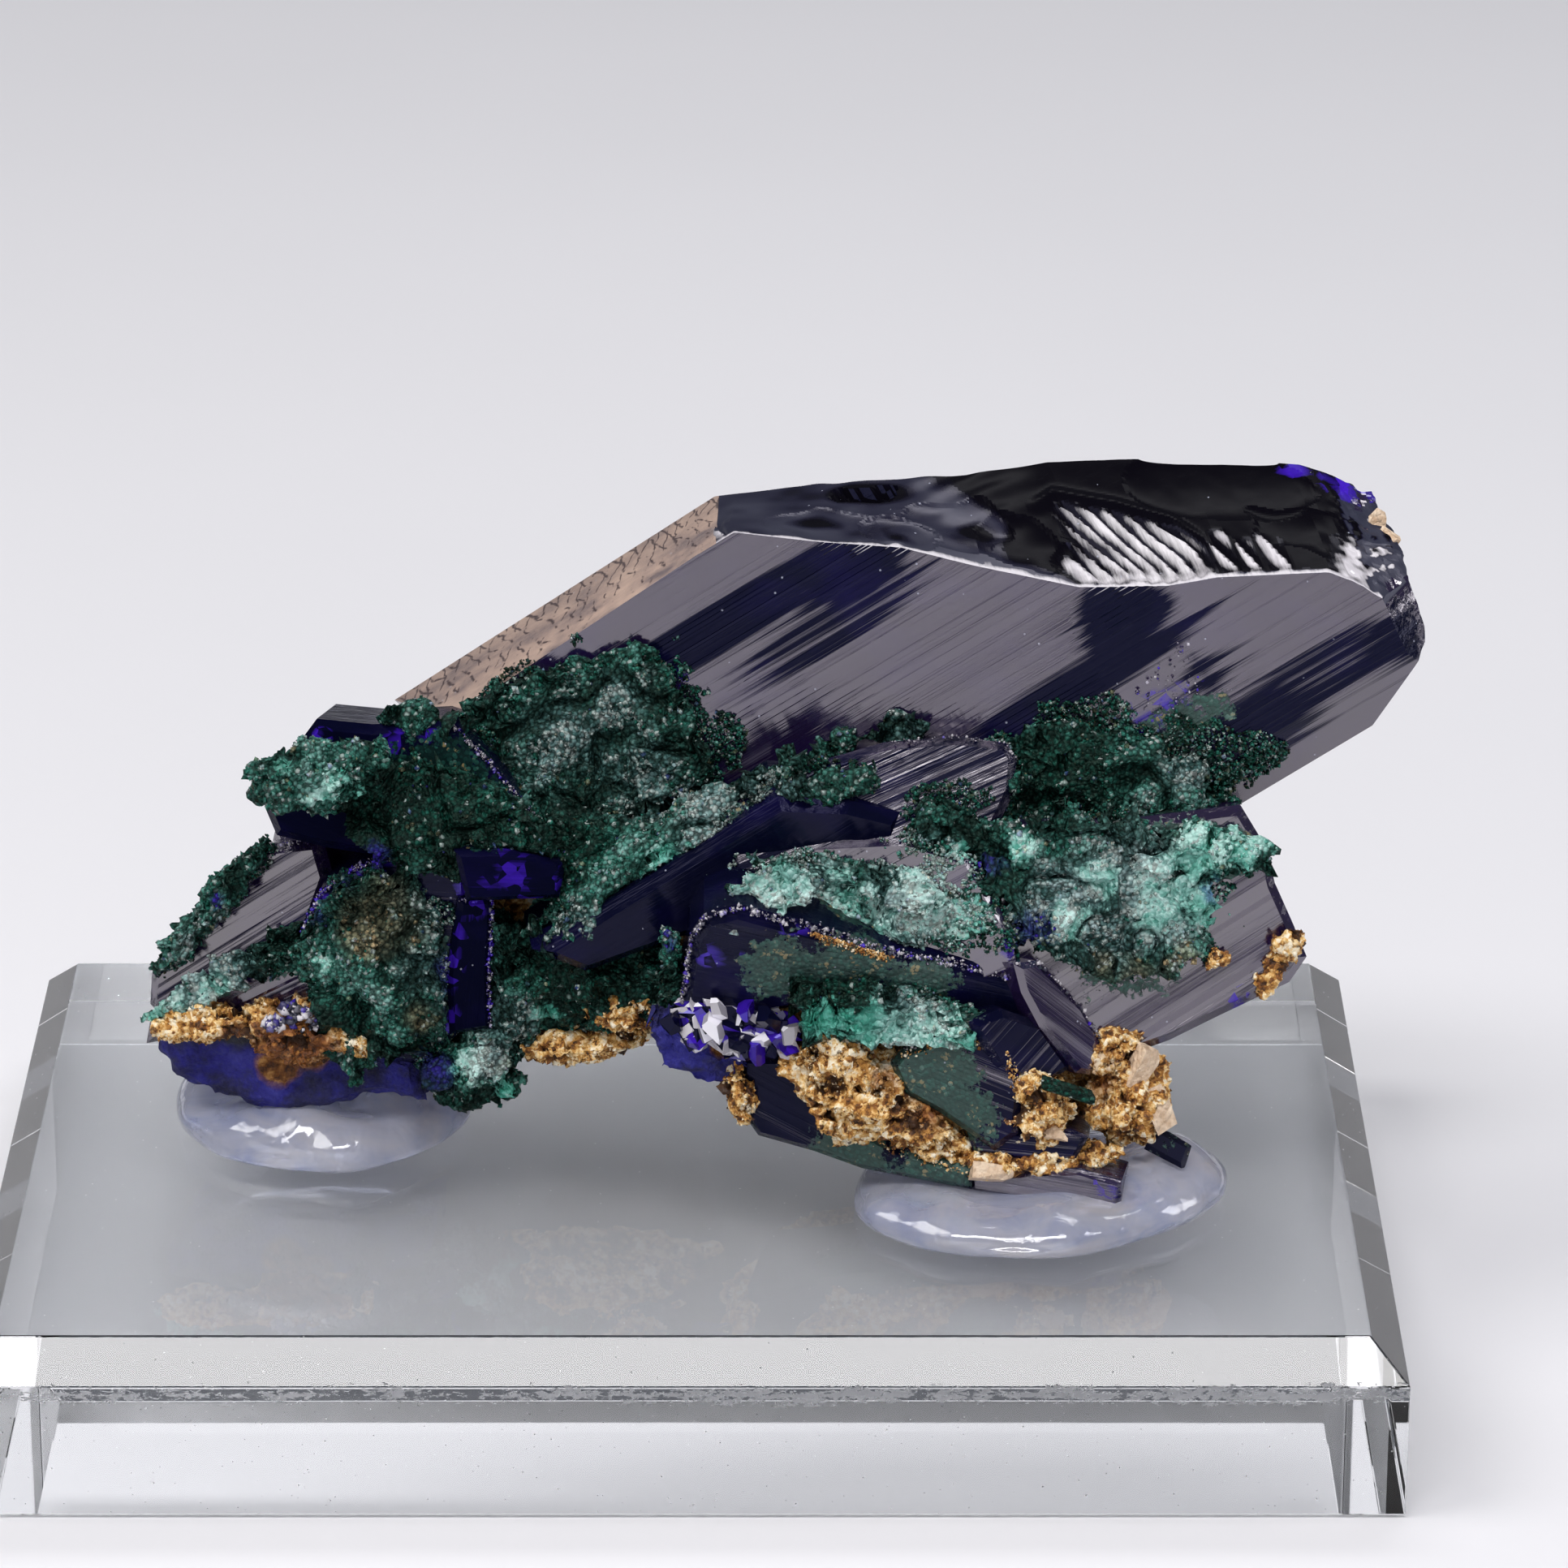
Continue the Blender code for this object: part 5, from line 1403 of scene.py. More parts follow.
def grainMesh(name, places, sizes, rng):
    # one grain at each place, each turned its own way
    shape, faces = np.array(grainCorners, dtype=float), np.array(grainFaces)
    count = len(places)
    turned = rng.normal(size=(count, 4))
    turned /= np.linalg.norm(turned, axis=1)[:, None]
    w, x, y, z = turned.T
    frames = np.array([[1 - 2 * (y * y + z * z), 2 * (x * y - z * w), 2 * (x * z + y * w)],
                       [2 * (x * y + z * w), 1 - 2 * (x * x + z * z), 2 * (y * z - x * w)],
                       [2 * (x * z - y * w), 2 * (y * z + x * w), 1 - 2 * (x * x + y * y)]])
    frames = frames.transpose(2, 0, 1)
    stretch = rng.uniform(0.6, 1.35, (count, 1, 3))
    corners = np.einsum("nij,nkj->nki", frames, shape[None] * stretch * sizes[:, None, None])
    corners += places[:, None, :]
    mesh = bpy.data.meshes.new(name)
    mesh.vertices.add(count * len(shape))
    mesh.vertices.foreach_set("co", corners.astype(np.float32).ravel())
    index = (faces[None] + np.arange(count)[:, None, None] * len(shape)).astype(np.int32)
    mesh.loops.add(index.size)
    mesh.loops.foreach_set("vertex_index", index.ravel())
    mesh.polygons.add(count * len(faces))
    mesh.polygons.foreach_set("loop_start", np.arange(count * len(faces), dtype=np.int32) * 3)
    mesh.update(calc_edges=True)
    obj = bpy.data.objects.new(name, mesh)
    bpy.context.scene.collection.objects.link(obj)
    return obj


def perGrain(values):
    # the same value at all corners of a grain
    return np.repeat(values, len(grainCorners), axis=0)


def fewer(count):
    return count


def shuffledSizes(rng, count, low, high):
    return low + (high - low) * rng.random(count) ** 2.2


grainPlans = {
    # most grains of each kind, and half sizes in mm
    "malachite": {"count": 52000, "size": (0.07, 0.22)},
    "fringe": {"count": 66000, "size": (0.06, 0.17)},
    "limonite": {"count": 14000, "size": (0.06, 0.20)},
    "inOnePiece": 23000,
}


def malachiteGrains(rng):
    plan = grainPlans["malachite"]
    count = fewer(plan["count"])
    places, out, chosen = strew(np.concatenate([triangles(mass) for mass in malachiteMasses]), count, rng)
    hollow = np.concatenate([triangles(mass, values) for mass, values in zip(malachiteMasses, hollows)])
    hollow = hollow.mean(axis=1)[chosen]
    clumps = roughNoise(places, 0.9, 71)
    keep = (clumps > -0.28) & (hollow + rng.normal(0, 0.06, count) < 0.66)
    places, out, clumps, hollow = places[keep], out[keep], clumps[keep], hollow[keep]
    sizes = shuffledSizes(rng, len(places), *plan["size"]) * (1 + 0.5 * np.clip(clumps, 0, 1))
    places = places + out * (sizes * 0.25)[:, None]
    # painted shade: grains in the hollows are darker
    tint = 0.75 + 0.5 * clumps - 0.7 * hollow + rng.normal(0, 0.16, len(places))
    return places, sizes, tint


def fringeGrains(rng):
    # ragged mounds on the blades, thinning out away from the crusts
    plan = grainPlans["fringe"]
    bodies = [mainCrystal] + [grown[name] for name in fringedBlades]
    corners = np.concatenate([triangles(body) for body in bodies]) / mm
    far = near(corners.mean(axis=1), malachiteLumps)
    corners = corners[(far > -1.2) & (far < 4.2)]
    count = fewer(plan["count"])
    places, out, _ = strew(corners, count * 3, rng)
    far = near(places, malachiteLumps)
    ragged = roughNoise(places, 1.8, 73) * 2.3 + roughNoise(places, 0.6, 74) * 1.1
    inside = 0.1 + ragged + spotField(places, fringeSpots) * 2.2 - far
    keep = np.flatnonzero((inside > 0) & (far < 3.8))[:count]
    places, out, inside = places[keep], out[keep], inside[keep]
    sizes = shuffledSizes(rng, len(places), *plan["size"])
    heights = rng.random(len(places)) * np.clip(0.08 + 0.30 * inside, 0.05, 0.5)
    places = places + out * (sizes * 0.2 + heights)[:, None]
    # painted light: grains standing higher are lighter
    tint = 0.42 + 0.5 * heights + 0.3 * roughNoise(places, 0.8, 75) + rng.normal(0, 0.18, len(places))
    return places, sizes, tint


fringedBlades = ["middleStriated", "archedBlade", "rightPlate", "leftBlade", "leftFoot", "leftRoof",
                 "roundCrystal", "backBlade", "backPlate"]
# crystals that stay clean beside the crusts, and how much of the bloom they take
cleanBlades = {"barCrystal": 0.1, "postCrystal": 0.3, "middleDark": 0.45, "frontEnd": 0.3,
               "frontRoof": 0.75, "middleStriated": 0.6}
# where the fringes reach further out, in mm
fringeSpots = [(-9.6, 1.0, 36.8, 1.6), (-2.4, 0.2, 37.6, 2.2), (0.6, 0.2, 35.2, 1.8),
               (-7.6, 0.4, 38.4, 1.6), (6.4, -8.0, 28.6, 2.4), (12.6, -7.0, 27.6, 2.6),
               (26.0, -6.6, 26.0, 3.0), (24.5, -7.2, 24.5, 2.2), (2.0, 0.4, 34.0, 2.0),
               (22.0, -0.6, 34.5, 2.2), (-10.5, 0.3, 37.0, 2.4), (-3.4, 0.2, 38.2, 1.6),
               (28.0, -0.6, 33.5, 2.0), (9.0, 0.0, 33.4, 2.4), (18.5, -8.0, 25.2, 1.6),
               (13.0, -6.4, 28.2, 1.8), (-0.9, 0.9, 33.4, 2.0), (-0.3, 0.7, 31.5, 1.8),
               (30.7, -1.3, 32.7, 1.8)]


def strewGrains():
    rng = np.random.default_rng(5)
    made = []
    jobs = [("malachiteGrains",) + malachiteGrains(rng), ("malachiteFringe",) + fringeGrains(rng)]
    for title, places, sizes, tint in jobs:
        share = grainPlans["inOnePiece"]
        for part in range(0, len(places), share):
            some = slice(part, part + share)
            obj = grainMesh(title + str(part // share + 1), places[some], sizes[some], rng)
            lot = perGrain(rng.random(len(places[some])))
            paintMalachite(obj, perGrain(places[some]), perGrain(tint[some]), lot)
            made.append((obj, malachite))
    plan = grainPlans["limonite"]
    places, out, _ = strew(triangles(limoniteMass), fewer(plan["count"]), rng)
    clumps = roughNoise(places, 0.8, 77)
    keep = clumps > -0.2
    places, out, clumps = places[keep], out[keep], clumps[keep]
    sizes = shuffledSizes(rng, len(places), *plan["size"])
    obj = grainMesh("limoniteGrains", places + out * (sizes * 0.2)[:, None], sizes, rng)
    tint = 0.62 + 0.5 * clumps + rng.normal(0, 0.2, len(places))
    paintLimonite(obj, perGrain(places), perGrain(tint), perGrain(np.full(len(places), 0.45)))
    made.append((obj, limonite))
    return made


def toWorld(obj):
    # from millimetres to the frame's metres
    setPoints(obj, points(obj) * mm)


grainPieces = strewGrains()
for body in crustPieces + [obj for obj, _ in grainPieces]:
    toWorld(body)
strewn = sum(len(obj.data.polygons) for obj, _ in grainPieces)
print("grains strewn:", strewn, "faces in", len(grainPieces), "pieces")


# Loose pieces: crushed crystals, chips, blue earth, beads

loosePieces = {
    # a nest of sparkling splinters under the front blade
    "crushed": {"middle": (2.7, -9.0, 20.6), "half": (3.3, 0.6, 1.5), "lean": -10, "count": 64,
                "size": (0.6, 1.9), "bed": (3.3, 1.5, 1.0)},
    "beads": {"places": [(-20.7, -4.5, 19.0, 1.15), (-22.4, -4.5, 18.8, 0.7), (-21.6, -4.3, 19.6, 0.6)],
              "count": 80, "size": (0.12, 0.36)},
    "specksOnBlade": [(25.6, -0.9, 37.6), (26.4, -1.0, 36.4), (24.9, -0.7, 36.2), (27.4, -1.0, 37.3),
                      (23.6, -0.2, 36.9), (26.9, -0.9, 38.9)],
    "splinterSize": (0.04, 0.17),
    "dustSize": (0.03, 0.12),
    # rims dusted with gold: blade, first and last corner, how many crumbs
    "goldDust": [("frontRoof", 4, 5, 420), ("lowTablet", 1, 4, 260), ("lowKeel", 2, 4, 120)],
    # cream chips: middle, size, turn
    "chips": [((24.9, -8.6, 18.1), (1.9, 1.0, 2.3), (10, 25, 28)),
              ((25.4, -9.0, 15.8), (1.5, 0.9, 2.4), (-14, -12, 40)),
              ((20.0, -10.9, 15.2), (1.3, 0.8, 0.9), (5, 12, -20)),
              ((16.5, -11.0, 12.9), (2.2, 0.9, 1.3), (0, 10, 8))],
    # from the blade's right end: along, across, depth, size
    "endChips": [(23.1, -8.7, 4.3, 1.15), (23.3, -7.7, 5.2, 0.95)],
    "needle": {"from": (19.0, -10.9, 18.4), "to": (22.1, -10.6, 17.2), "radius": 0.42},
    "shard": {"middle": (26.3, -8.2, 13.2), "size": (2.4, 1.2, 1.1), "turn": (8, 22, -18)},
    "blueEarth": [((0.9, -8.0, 18.7), (2.7, 1.4, 1.2), (0, 0, -28)),
                  ((-0.9, -7.6, 20.2), (1.2, 1.1, 1.1), (0, 0, 0))],
}

# rims set with tiny splinters: first and last corner of the outline, how many, how silvery, how violet
chippedRims = {
    "frontRoof": (0, 7, 640, 0.6, 0.35),
    "leftRoof": (2, 5, 260, 0.45, 0.5),
    "roundCrystal": (0, 4, 700, 0.3, 1.0),
    "postCrystal": (0, 3, 240, 0.3, 1.0),
    "middleStriated": (3, 6, 60, 0.5, 0.1),
    "leftBlade": (1, 4, 120, 0.5, 0.8),
    "frontEnd": (0, 3, 70, 0.7, 0.2),
    "archedBlade": (0, 3, 80, 0.8, 0.3),
    "lowTablet": (1, 4, 60, 0.5, 0.5),
}

leftBase = {
    "at": (-22.1, -3.0, 15.2), "turn": -6, "lean": -2, "rise": 4, "thick": 8.0, "bevel": 0.7,
    "face": [(-7.4, 2.9), (-1.9, 3.1), (4.8, 2.0), (7.7, 0.4), (7.7, -2.4), (6.6, -2.2), (4.8, -2.0),
             (1.9, -2.9), (-0.9, -2.9), (-2.5, -2.4), (-5.1, -1.3), (-6.3, -0.6), (-7.0, 1.2)],
    # where the blue earth is pale, and where it is rusty
    "pale": [(-20.4, -4.0, 13.0, 0.5), (-25.6, -4.2, 13.8, 0.4)],
    "rusty": [(-22.4, -4.0, 15.4, 1.5), (-20.8, -4.0, 16.4, 1.5), (-18.4, -4.2, 16.6, 1.1),
              (2.2, -8.6, 19.6, 0.9)],
    "voxel": 0.22,
}


def crystalChip(name, middle, size, turn, cuts=6):
    # an angular chip: a cube with its corners cut off, in mm
    deselect()
    bpy.ops.mesh.primitive_cube_add(size=1)
    chip = bpy.context.object
    chip.name = name
    rng = random.Random(name)
    for _ in range(cuts):
        direction = Vector([rng.uniform(-1, 1) for _ in range(3)]).normalized()
        sliceOff(chip, direction * rng.uniform(0.24, 0.52), direction)
    turned = Matrix.Rotation(math.radians(turn[2]), 4, "Z") @ Matrix.Rotation(math.radians(turn[1]), 4, "Y")
    turned = turned @ Matrix.Rotation(math.radians(turn[0]), 4, "X")
    scaled = Matrix.Diagonal((*[length * mm for length in size], 1))
    chip.matrix_world = Matrix.Translation(Vector(middle) * mm) @ turned @ scaled
    applyPlace(chip)
    return chip


def flatValues(obj, **values):
    for name, value in values.items():
        setValues(obj, name, np.full(len(obj.data.vertices), value, dtype=float))


def facetValues(obj, silvery, violet, dark, rng):
    # for each facet: silvery, violet or dark, as painted sheen, violet light and painted shade; nearly half
    # the silvery ones are painted white as a reflection
    setValues(obj, "broken", silvery.astype(float), domain="FACE")
    white = [2.0 if rng.random() < 0.45 else rng.uniform(0.45, 1.05) for _ in silvery]
    setValues(obj, "frostAndSheen", silvery * np.array(white), domain="FACE")
    setValues(obj, "glow", violet.astype(float), domain="FACE")
    setValues(obj, "shade", dark * 0.9, domain="FACE")


def crushedCrystals():
    # a nest of glassy splinters: silvery, violet and dark, the silver and the dark painted as sheen and
    # shade
    plan = loosePieces["crushed"]
    rng = random.Random(8)
    splinters = []
    for i in range(plan["count"]):
        turn, reach = rng.uniform(0, 2 * math.pi), math.sqrt(rng.random())
        x = plan["half"][0] * reach * math.cos(turn)
        z = plan["half"][2] * reach * math.sin(turn) + x * math.tan(math.radians(plan["lean"]))
        place = Vector(plan["middle"]) + Vector((x, plan["half"][1] * rng.uniform(-1, 1), z))
        size = rng.uniform(*plan["size"])
        splinter = crystalChip("splinter%d" % i, place, (size, size * 0.5, size * rng.uniform(0.5, 0.9)),
                               [rng.uniform(0, 360) for _ in range(3)])
        kind = np.full(len(splinter.data.polygons), rng.random())
        facetValues(splinter, kind < 0.46, (kind > 0.46) & (kind < 0.70), kind > 0.70, rng)
        splinters.append(splinter)
    x, y, z = plan["middle"]
    mass = lumpBody((x, y + 0.5, z), plan["bed"], (0, 4, plan["lean"]))
    modifier = mass.modifiers.new("coarse", "DECIMATE")
    modifier.ratio = 0.15
    applyModifiers(mass)
    co = points(mass)
    shaken = np.stack([softNoise(co, 0.5, seed) for seed in (101, 102, 103)], axis=1)
    setPoints(mass, (co + 0.30 * shaken) * mm)
    kind = np.array([rng.random() for _ in mass.data.polygons])
    facetValues(mass, kind < 0.36, (kind > 0.36) & (kind < 0.62), kind > 0.62, rng)
    return join("crushedCrystals", [mass] + splinters)


def sparklingBeads():
    plan = loosePieces["beads"]
    rng = np.random.default_rng(9)
    pieces = []
    for x, y, z, radius in plan["places"]:
        outwards = rng.normal(size=(plan["count"], 3))
        outwards /= np.linalg.norm(outwards, axis=1)[:, None]
        pieces.append(outwards * (radius, radius * 0.5, radius * 0.6) * 0.8 + (x, y, z))
    places = np.concatenate(pieces)
    obj = grainMesh("sparklingBeads", places, shuffledSizes(rng, len(places), *plan["size"]), rng)
    flatValues(obj, broken=1.0)
    # painted sparkle: the beads' grains are painted silvery and white
    setValues(obj, "frostAndSheen", perGrain(rng.choice([0.05, 0.4, 1.1], len(places), p=[0.45, 0.25, 0.30])))
    setValues(obj, "glow", perGrain(rng.choice([0.0, 0.6], len(places))))
    toWorld(obj)
    return obj


def chippedEdges():
    rng = np.random.default_rng(12)
    places, silver, violet = [], [], []
    for name, (first, last, count, silvery, glowing) in chippedRims.items():
        plan = blades[name]
        corners = np.array(plan["face"][first:last + 1])
        lengths = np.hypot(*np.diff(corners, axis=0).T)
        for _ in range(count):
            side = rng.choice(len(lengths), p=lengths / lengths.sum())
            spot = corners[side] + rng.random() * (corners[side + 1] - corners[side])
            x, y = spot + rng.normal(0, 0.07, 2)
            places.append(onFace(plan, x * 0.985, y * 0.97, -plan["bevel"] * rng.random()))
            silver.append(rng.random() < silvery)
            violet.append(rng.random() < glowing)
    for place in loosePieces["specksOnBlade"]:
        for _ in range(12):
            places.append(Vector(place) + Vector(rng.normal(0, 0.35, 3) * (1, 0.2, 1)))
            silver.append(rng.random() < 0.4)
            violet.append(rng.random() < 0.5)
    places, silver, violet = np.array(places), np.array(silver, float), np.array(violet, float)
    sizes = shuffledSizes(rng, len(places), *loosePieces["splinterSize"])
    obj = grainMesh("chippedEdges", places, sizes, rng)
    setValues(obj, "broken", perGrain(silver))
    # the silvery splinters are painted pale, partly as sheen
    setValues(obj, "frostAndSheen", perGrain(silver * rng.uniform(0.2, 1.0, len(places))))
    setValues(obj, "glow", perGrain(violet * rng.uniform(0.3, 1.0, len(places))))
    toWorld(obj)
    return obj


def goldDust():
    # gold crumbs on the rims of three crystals at the front
    rng = np.random.default_rng(14)
    places = []
    for name, first, last, count in loosePieces["goldDust"]:
        plan = blades[name]
        corners = np.array(plan["face"][first:last + 1])
        for _ in range(count):
            side = rng.integers(len(corners) - 1)
            x, y = corners[side] + rng.random() * (corners[side + 1] - corners[side])
            x, y = x * 0.98 + rng.normal(0, 0.15), y * 0.94 - abs(rng.normal(0, 0.22))
            places.append(onFace(plan, x, y, 0.02))
    places = np.array(places)
    sizes = shuffledSizes(rng, len(places), *loosePieces["dustSize"])
    obj = grainMesh("goldDust", places, sizes, rng)
    setValues(obj, "tint", perGrain(rng.uniform(0.2, 1.0, len(places))))
    toWorld(obj)
    return obj


def blueEarthBody():
    plan = leftBase
    base = outlineSlab("leftBaseEarth", plan["face"], 0.0, -plan["thick"])
    bevelRim(base, 0.0, plan["bevel"])
    base.matrix_world = Matrix.Translation(plan["at"]) @ planFrame(plan).to_4x4()
    applyPlace(base)
    body = join("blueEarth", [base] + [lumpBody(*lump) for lump in loosePieces["blueEarth"]])
    pick(body)
    body.data.remesh_voxel_size = plan["voxel"]
    bpy.ops.object.voxel_remesh()
    co, out = points(body), normalsOf(body)
    move = 0.36 * roughNoise(co, 2.2, 81) + 0.30 * (0.4 - np.abs(softNoise(co, 0.8, 83))) - 0.22
    setPoints(body, co + out * move[:, None])
    co = points(body)
    upper = (co[:, 2] - 15.6) / 2.0 - np.abs(co[:, 0] + 26.0) * 0.10
    dull = np.clip(upper + 0.5 * roughNoise(co, 1.6, 85), 0, 1)
    setValues(body, "brown", dull * (co[:, 0] < -10))
    setValues(body, "pale", spotField(co, plan["pale"]))
    setValues(body, "tint", spotField(co, plan["rusty"]))
    toWorld(body)
    return body


def looseChips():
    chips = [crystalChip("chip%d" % i, *plan) for i, plan in enumerate(loosePieces["chips"])]
    for i, (along, across, depth, size) in enumerate(loosePieces["endChips"]):
        place = onFace(mainBlade, along, across, -depth)
        sizes = (size, size * 0.8, size * 1.3)
        chips.append(crystalChip("endChip%d" % i, place, sizes, (20 * i, 35, 15 * i)))
    return join("creamChips", chips)


def greenNeedle():
    plan = loosePieces["needle"]
    start, end = Vector(plan["from"]), Vector(plan["to"])
    deselect()
    bpy.ops.mesh.primitive_cylinder_add(vertices=6, radius=plan["radius"], depth=(end - start).length)
    needle = bpy.context.object
    needle.name = "greenNeedle"
    sliceOff(needle, (0.1, 0, 1.25), (0.5, 0.2, 0.8))
    sliceOff(needle, (0, 0, -1.45), (0.3, -0.4, -0.8))
    cutAcross(needle, [-0.9, -0.3, 0.4], (0, 0, 1))
    turned = (end - start).to_track_quat("Z", "Y").to_matrix().to_4x4()
    needle.matrix_world = Matrix.Translation((start + end) / 2 * mm) @ turned @ Matrix.Scale(mm, 4)
    applyPlace(needle)
    flatValues(needle, tint=0.15)
    return needle


def makeLoosePieces():
    earth = blueEarthBody()
    finishPiece(earth, blueEarth, 50)
    for obj in (crushedCrystals(), sparklingBeads(), chippedEdges()):
        finishPiece(obj, azurite)
    finishPiece(goldDust(), limonite)
    chips = looseChips()
    flatValues(chips, pale=1.0, tint=0.7)
    finishPiece(chips, limonite)
    finishPiece(greenNeedle(), malachite)
    plan = loosePieces["shard"]
    shard = crystalChip("darkShard", plan["middle"], plan["size"], plan["turn"])
    flatValues(shard, shade=0.9, film=0.35)
    finishPiece(shard, azurite)


# Green bloom and violet light on the crystals: soft spots (x, y, z, radius), in mm

filmSpots = [(5.1, -9.6, 24.4, 2.4), (9.0, -9.8, 24.2, 2.6), (13.0, -9.8, 23.4, 2.0),
             (13.3, -10.3, 18.2, 3.0), (15.2, -10.0, 16.2, 2.2), (-13.3, -2.6, 32.0, 3.4),
             (-10.6, -3.4, 30.6, 2.2), (-26.0, -3.6, 21.4, 2.4), (9.0, -8.9, 13.6, 2.6),
             (13.8, -9.5, 12.8, 2.6), (26.6, -0.8, 35.0, 2.0), (28.9, -1.0, 36.0, 1.4),
             (24.0, -7.2, 25.4, 4.0), (-22.0, -3.6, 21.8, 1.4)]
glowSpots = [(-8.6, -4.6, 27.8, 2.0), (-11.4, -4.8, 26.8, 1.2), (-12.2, -5.0, 23.6, 1.3),
             (-15.6, -1.8, 34.2, 1.0), (-13.6, -1.9, 34.4, 0.7), (-19.8, -0.8, 34.2, 0.7),
             (-19.8, -4.3, 25.1, 1.5), (-18.2, -4.3, 27.4, 1.2), (-16.4, -4.2, 28.4, 1.2),
             (-9.8, -4.6, 28.3, 1.6), (-11.2, -4.6, 25.4, 1.1), (-12.9, -5.0, 21.4, 1.2),
             (-12.6, -5.0, 19.0, 1.1), (-26.6, -2.6, 24.0, 0.9), (22.8, -12.2, 12.3, 0.9),
             (17.8, -8.6, 25.4, 0.9), (6.0, -10.0, 27.2, 0.9), (1.6, -10.0, 25.0, 1.0),
             (30.0, -6.2, 20.8, 1.0), (5.6, -9.9, 19.2, 1.3), (-28.6, -2.8, 22.0, 1.0),
             (12.6, -7.4, 29.4, 0.9), (-14.4, -4.6, 30.6, 1.0)]


# how much violet light a crystal holds, and how much these three do, which hardly mirror and so stay dark
# as painted shade
violetShare = 0.85
dimCrystals = {"leftRoof": 0.85, "barCrystal": 0.48, "postCrystal": 0.48}


def paintCrystals():
    for name, obj in list(grown.items()) + [("mainBlade", mainCrystal)]:
        places = points(obj) / mm
        far = near(places, malachiteLumps)
        film = np.clip(0.62 - far / 2.2, 0, 0.8) * cleanBlades.get(name, 1)
        film = np.maximum(film, spotField(places, filmSpots) * 0.8)
        if name == "mainBlade":
            film = np.clip(film - 0.18, 0, 1)
        setValues(obj, "film", film)
        if name != "mainBlade":
            setValues(obj, "glow", spotField(places, glowSpots) * dimCrystals.get(name, violetShare))
        material = dimAzurite if name in dimCrystals else azurite
        finishPiece(obj, material, 4 if name == "mainBlade" else 9)

    # the black part of the break hardly mirrors, a painted dark reflection
    faces = mainCrystal.data.polygons
    black = np.empty(len(faces))
    mainCrystal.data.attributes["black"].data.foreach_get("value", black)
    mainCrystal.data.materials.append(dimAzurite)
    faces.foreach_set("material_index", black.astype(np.int32))


paintCrystals()
for mass in malachiteMasses:
    finishPiece(mass, malachite, 60)
for mass in (limoniteMass, limoniteCore):
    finishPiece(mass, limonite, 60)
for obj, material in grainPieces:
    finishPiece(obj, material)
makeLoosePieces()
print("specimen finished")


# Glue pads: set drops with rounded rims and soft folds

pads = {
    "floor": 9.62,  # mm, on the block
    "profile": [(0.0, 0.55), (0.45, 0.10), (1.1, 0.0), (1.9, 0.30), (2.5, 0.95), (3.0, 2.1), (3.25, 3.4),
                (3.2, 5.0)],
    # how high the right drop stands, and a bulge on it: middle, radius, height
    "rightHeight": 0.76,
    "bulge": ((26.4, -6.2), 2.6, 0.9),
    "left": {"middle": (-20.4, 2.6), "half": (8.4, 7.9), "points": 36, "uneven": 0.012},
    "right": [(8.6, -9.1), (9.4, -11.6), (12.0, -14.2), (15.5, -15.4), (19.4, -15.8), (22.6, -14.8),
              (25.8, -12.6), (28.4, -10.2), (29.7, -7.7), (29.5, -5.0), (27.6, -2.7), (24.2, -1.4),
              (20.0, -1.2), (15.4, -1.9), (11.4, -3.4), (9.2, -6.0)],
    "folds": 0.34,
}


def drawnIn(outline, distance):
    # the outline moved inwards
    count = len(outline)
    corners = [Vector(corner) for corner in outline]
    side = 1.0 if signedArea(outline) > 0 else -1.0
    moved = []
    for i in range(count):
        before = (corners[i] - corners[i - 1]).normalized()
        after = (corners[(i + 1) % count] - corners[i]).normalized()
        out = (Vector((before.y, -before.x)) + Vector((after.y, -after.x))) * side
        moved.append(corners[i] - out * distance / max(out.length_squared / 2, 0.5))
    return moved


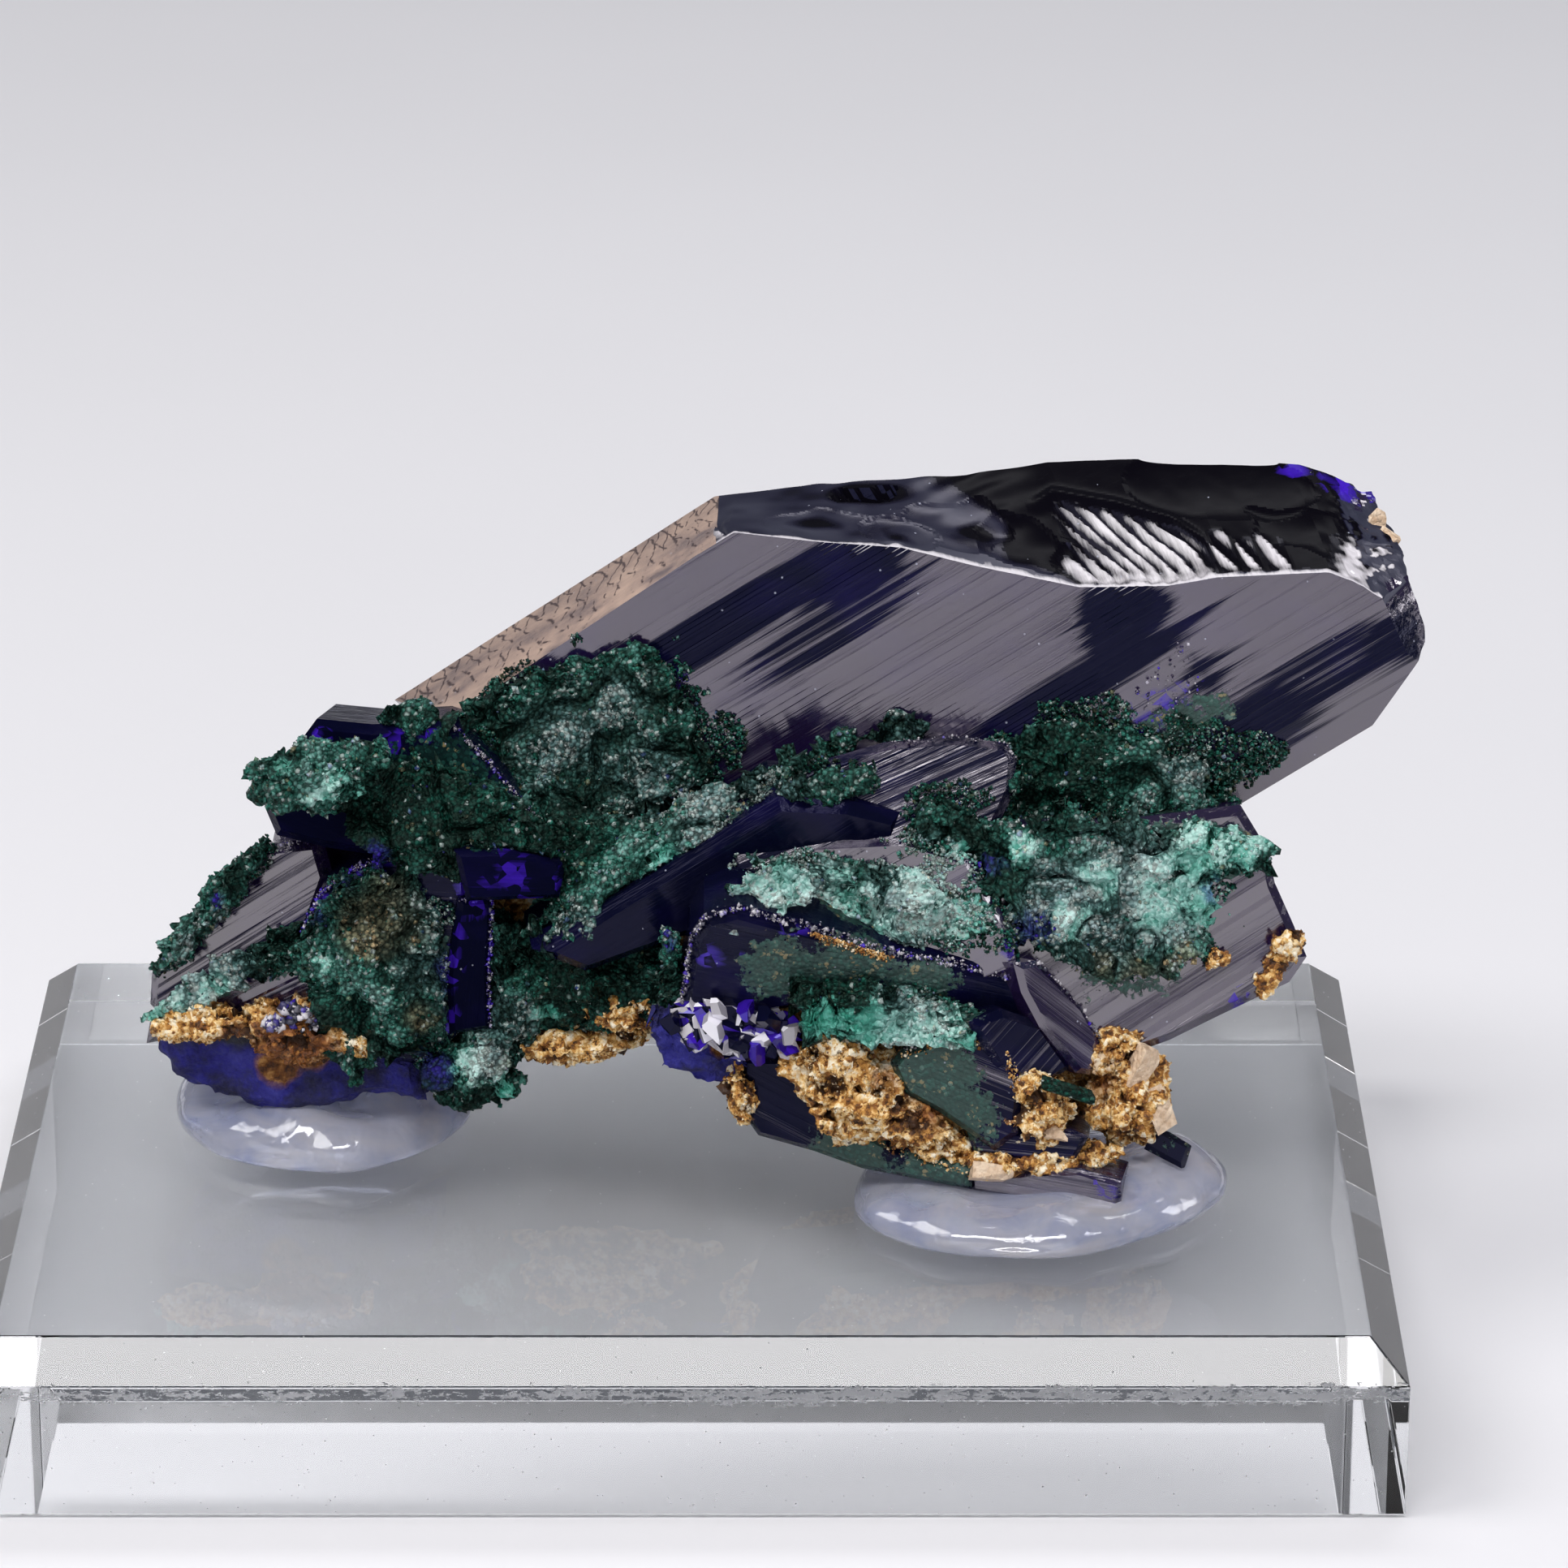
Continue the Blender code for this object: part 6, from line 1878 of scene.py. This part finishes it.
def growPad(name, outline, rise=1.0):
    rings = [[(*corner, height * rise) for corner in drawnIn(outline, inset)]
             for height, inset in pads["profile"]]
    count = len(outline)
    deselect()
    bpy.ops.mesh.primitive_circle_add(vertices=count, radius=1, fill_type="NGON")
    pad = bpy.context.object
    pad.name = name
    setPoints(pad, np.array([(x, y, z + pads["floor"]) for x, y, z in rings[0]]))
    for ring in rings[1:]:
        edit(pad, "FACE")
        bpy.ops.mesh.select_all(action="DESELECT")
        leaveEdit()
        top = max(pad.data.polygons, key=lambda face: (len(face.vertices) == count) * (10 + face.center.z))
        top.select = True
        bpy.ops.object.mode_set(mode="EDIT")
        bpy.ops.mesh.extrude_region_move(TRANSFORM_OT_translate={"value": (0, 0, 0.4)})
        leaveEdit()
        previous = rings[rings.index(ring) - 1]
        for face in pad.data.polygons:
            if face.select and len(face.vertices) == count:
                for i in face.vertices:
                    vertex = pad.data.vertices[i]
                    nearest = min(range(count), key=lambda k: math.dist(previous[k][:2], vertex.co.xy))
                    vertex.co = (ring[nearest][0], ring[nearest][1], ring[nearest][2] + pads["floor"])
    edit(pad, "FACE")
    faceOutwards()
    smooth = pad.modifiers.new("smooth", "SUBSURF")
    smooth.levels = smooth.render_levels = 2
    applyModifiers(pad)
    co, out = points(pad), normalsOf(pad)
    fold = softNoise(co, 3.2, 91) + 0.5 * softNoise(co, 1.6, 93)
    high = np.clip((co[:, 2] - pads["floor"]) / 1.0, 0, 1)
    co += out * (pads["folds"] * (fold - 0.5) * high)[:, None]
    middle, radius, height = pads["bulge"]
    co[:, 2] += height * high * np.exp(-((co[:, :2] - middle) ** 2).sum(axis=1) / radius ** 2)
    setPoints(pad, co * mm)
    return pad


leftPlan = pads["left"]
(middleX, middleY), (halfX, halfY) = leftPlan["middle"], leftPlan["half"]
turns = [2 * math.pi * i / leftPlan["points"] for i in range(leftPlan["points"])]
leftOutline = [(middleX + halfX * math.cos(turn) * (1 + leftPlan["uneven"] * math.sin(3 * turn)),
                middleY + halfY * math.sin(turn)) for turn in turns]
finishPiece(growPad("gluePadLeft", leftOutline), setGlue, 70, "glue_pad_left")
rightPad = growPad("gluePadRight", pads["right"], pads["rightHeight"])
finishPiece(rightPad, setGlue, 70, "glue_pad_right")
print("glue pads set")


# The clear block

block = {
    "size": (76.2, 50.8, 9.6),
    "chamfer": 2.0,
    "softEdge": 0.08,  # how far its sharp edges are rounded
}


def makeBlock():
    width, deep, high = block["size"]
    deselect()
    bpy.ops.mesh.primitive_cube_add(size=1, location=(0, 0, high / 2), scale=(width, deep, high))
    body = bpy.context.object
    body.name = "clearBlock"
    applyPlace(body)
    markEdges(body, lambda height: height > high - 0.01)
    bpy.ops.mesh.bevel(offset=block["chamfer"], segments=1, affect="EDGES")
    bpy.ops.mesh.select_all(action="SELECT")
    bpy.ops.mesh.bevel(offset=block["softEdge"], segments=2, affect="EDGES")
    leaveEdit()
    setPoints(body, points(body) * mm)
    return body


finishPiece(makeBlock(), acrylic, None, "display_block")
print("block made")
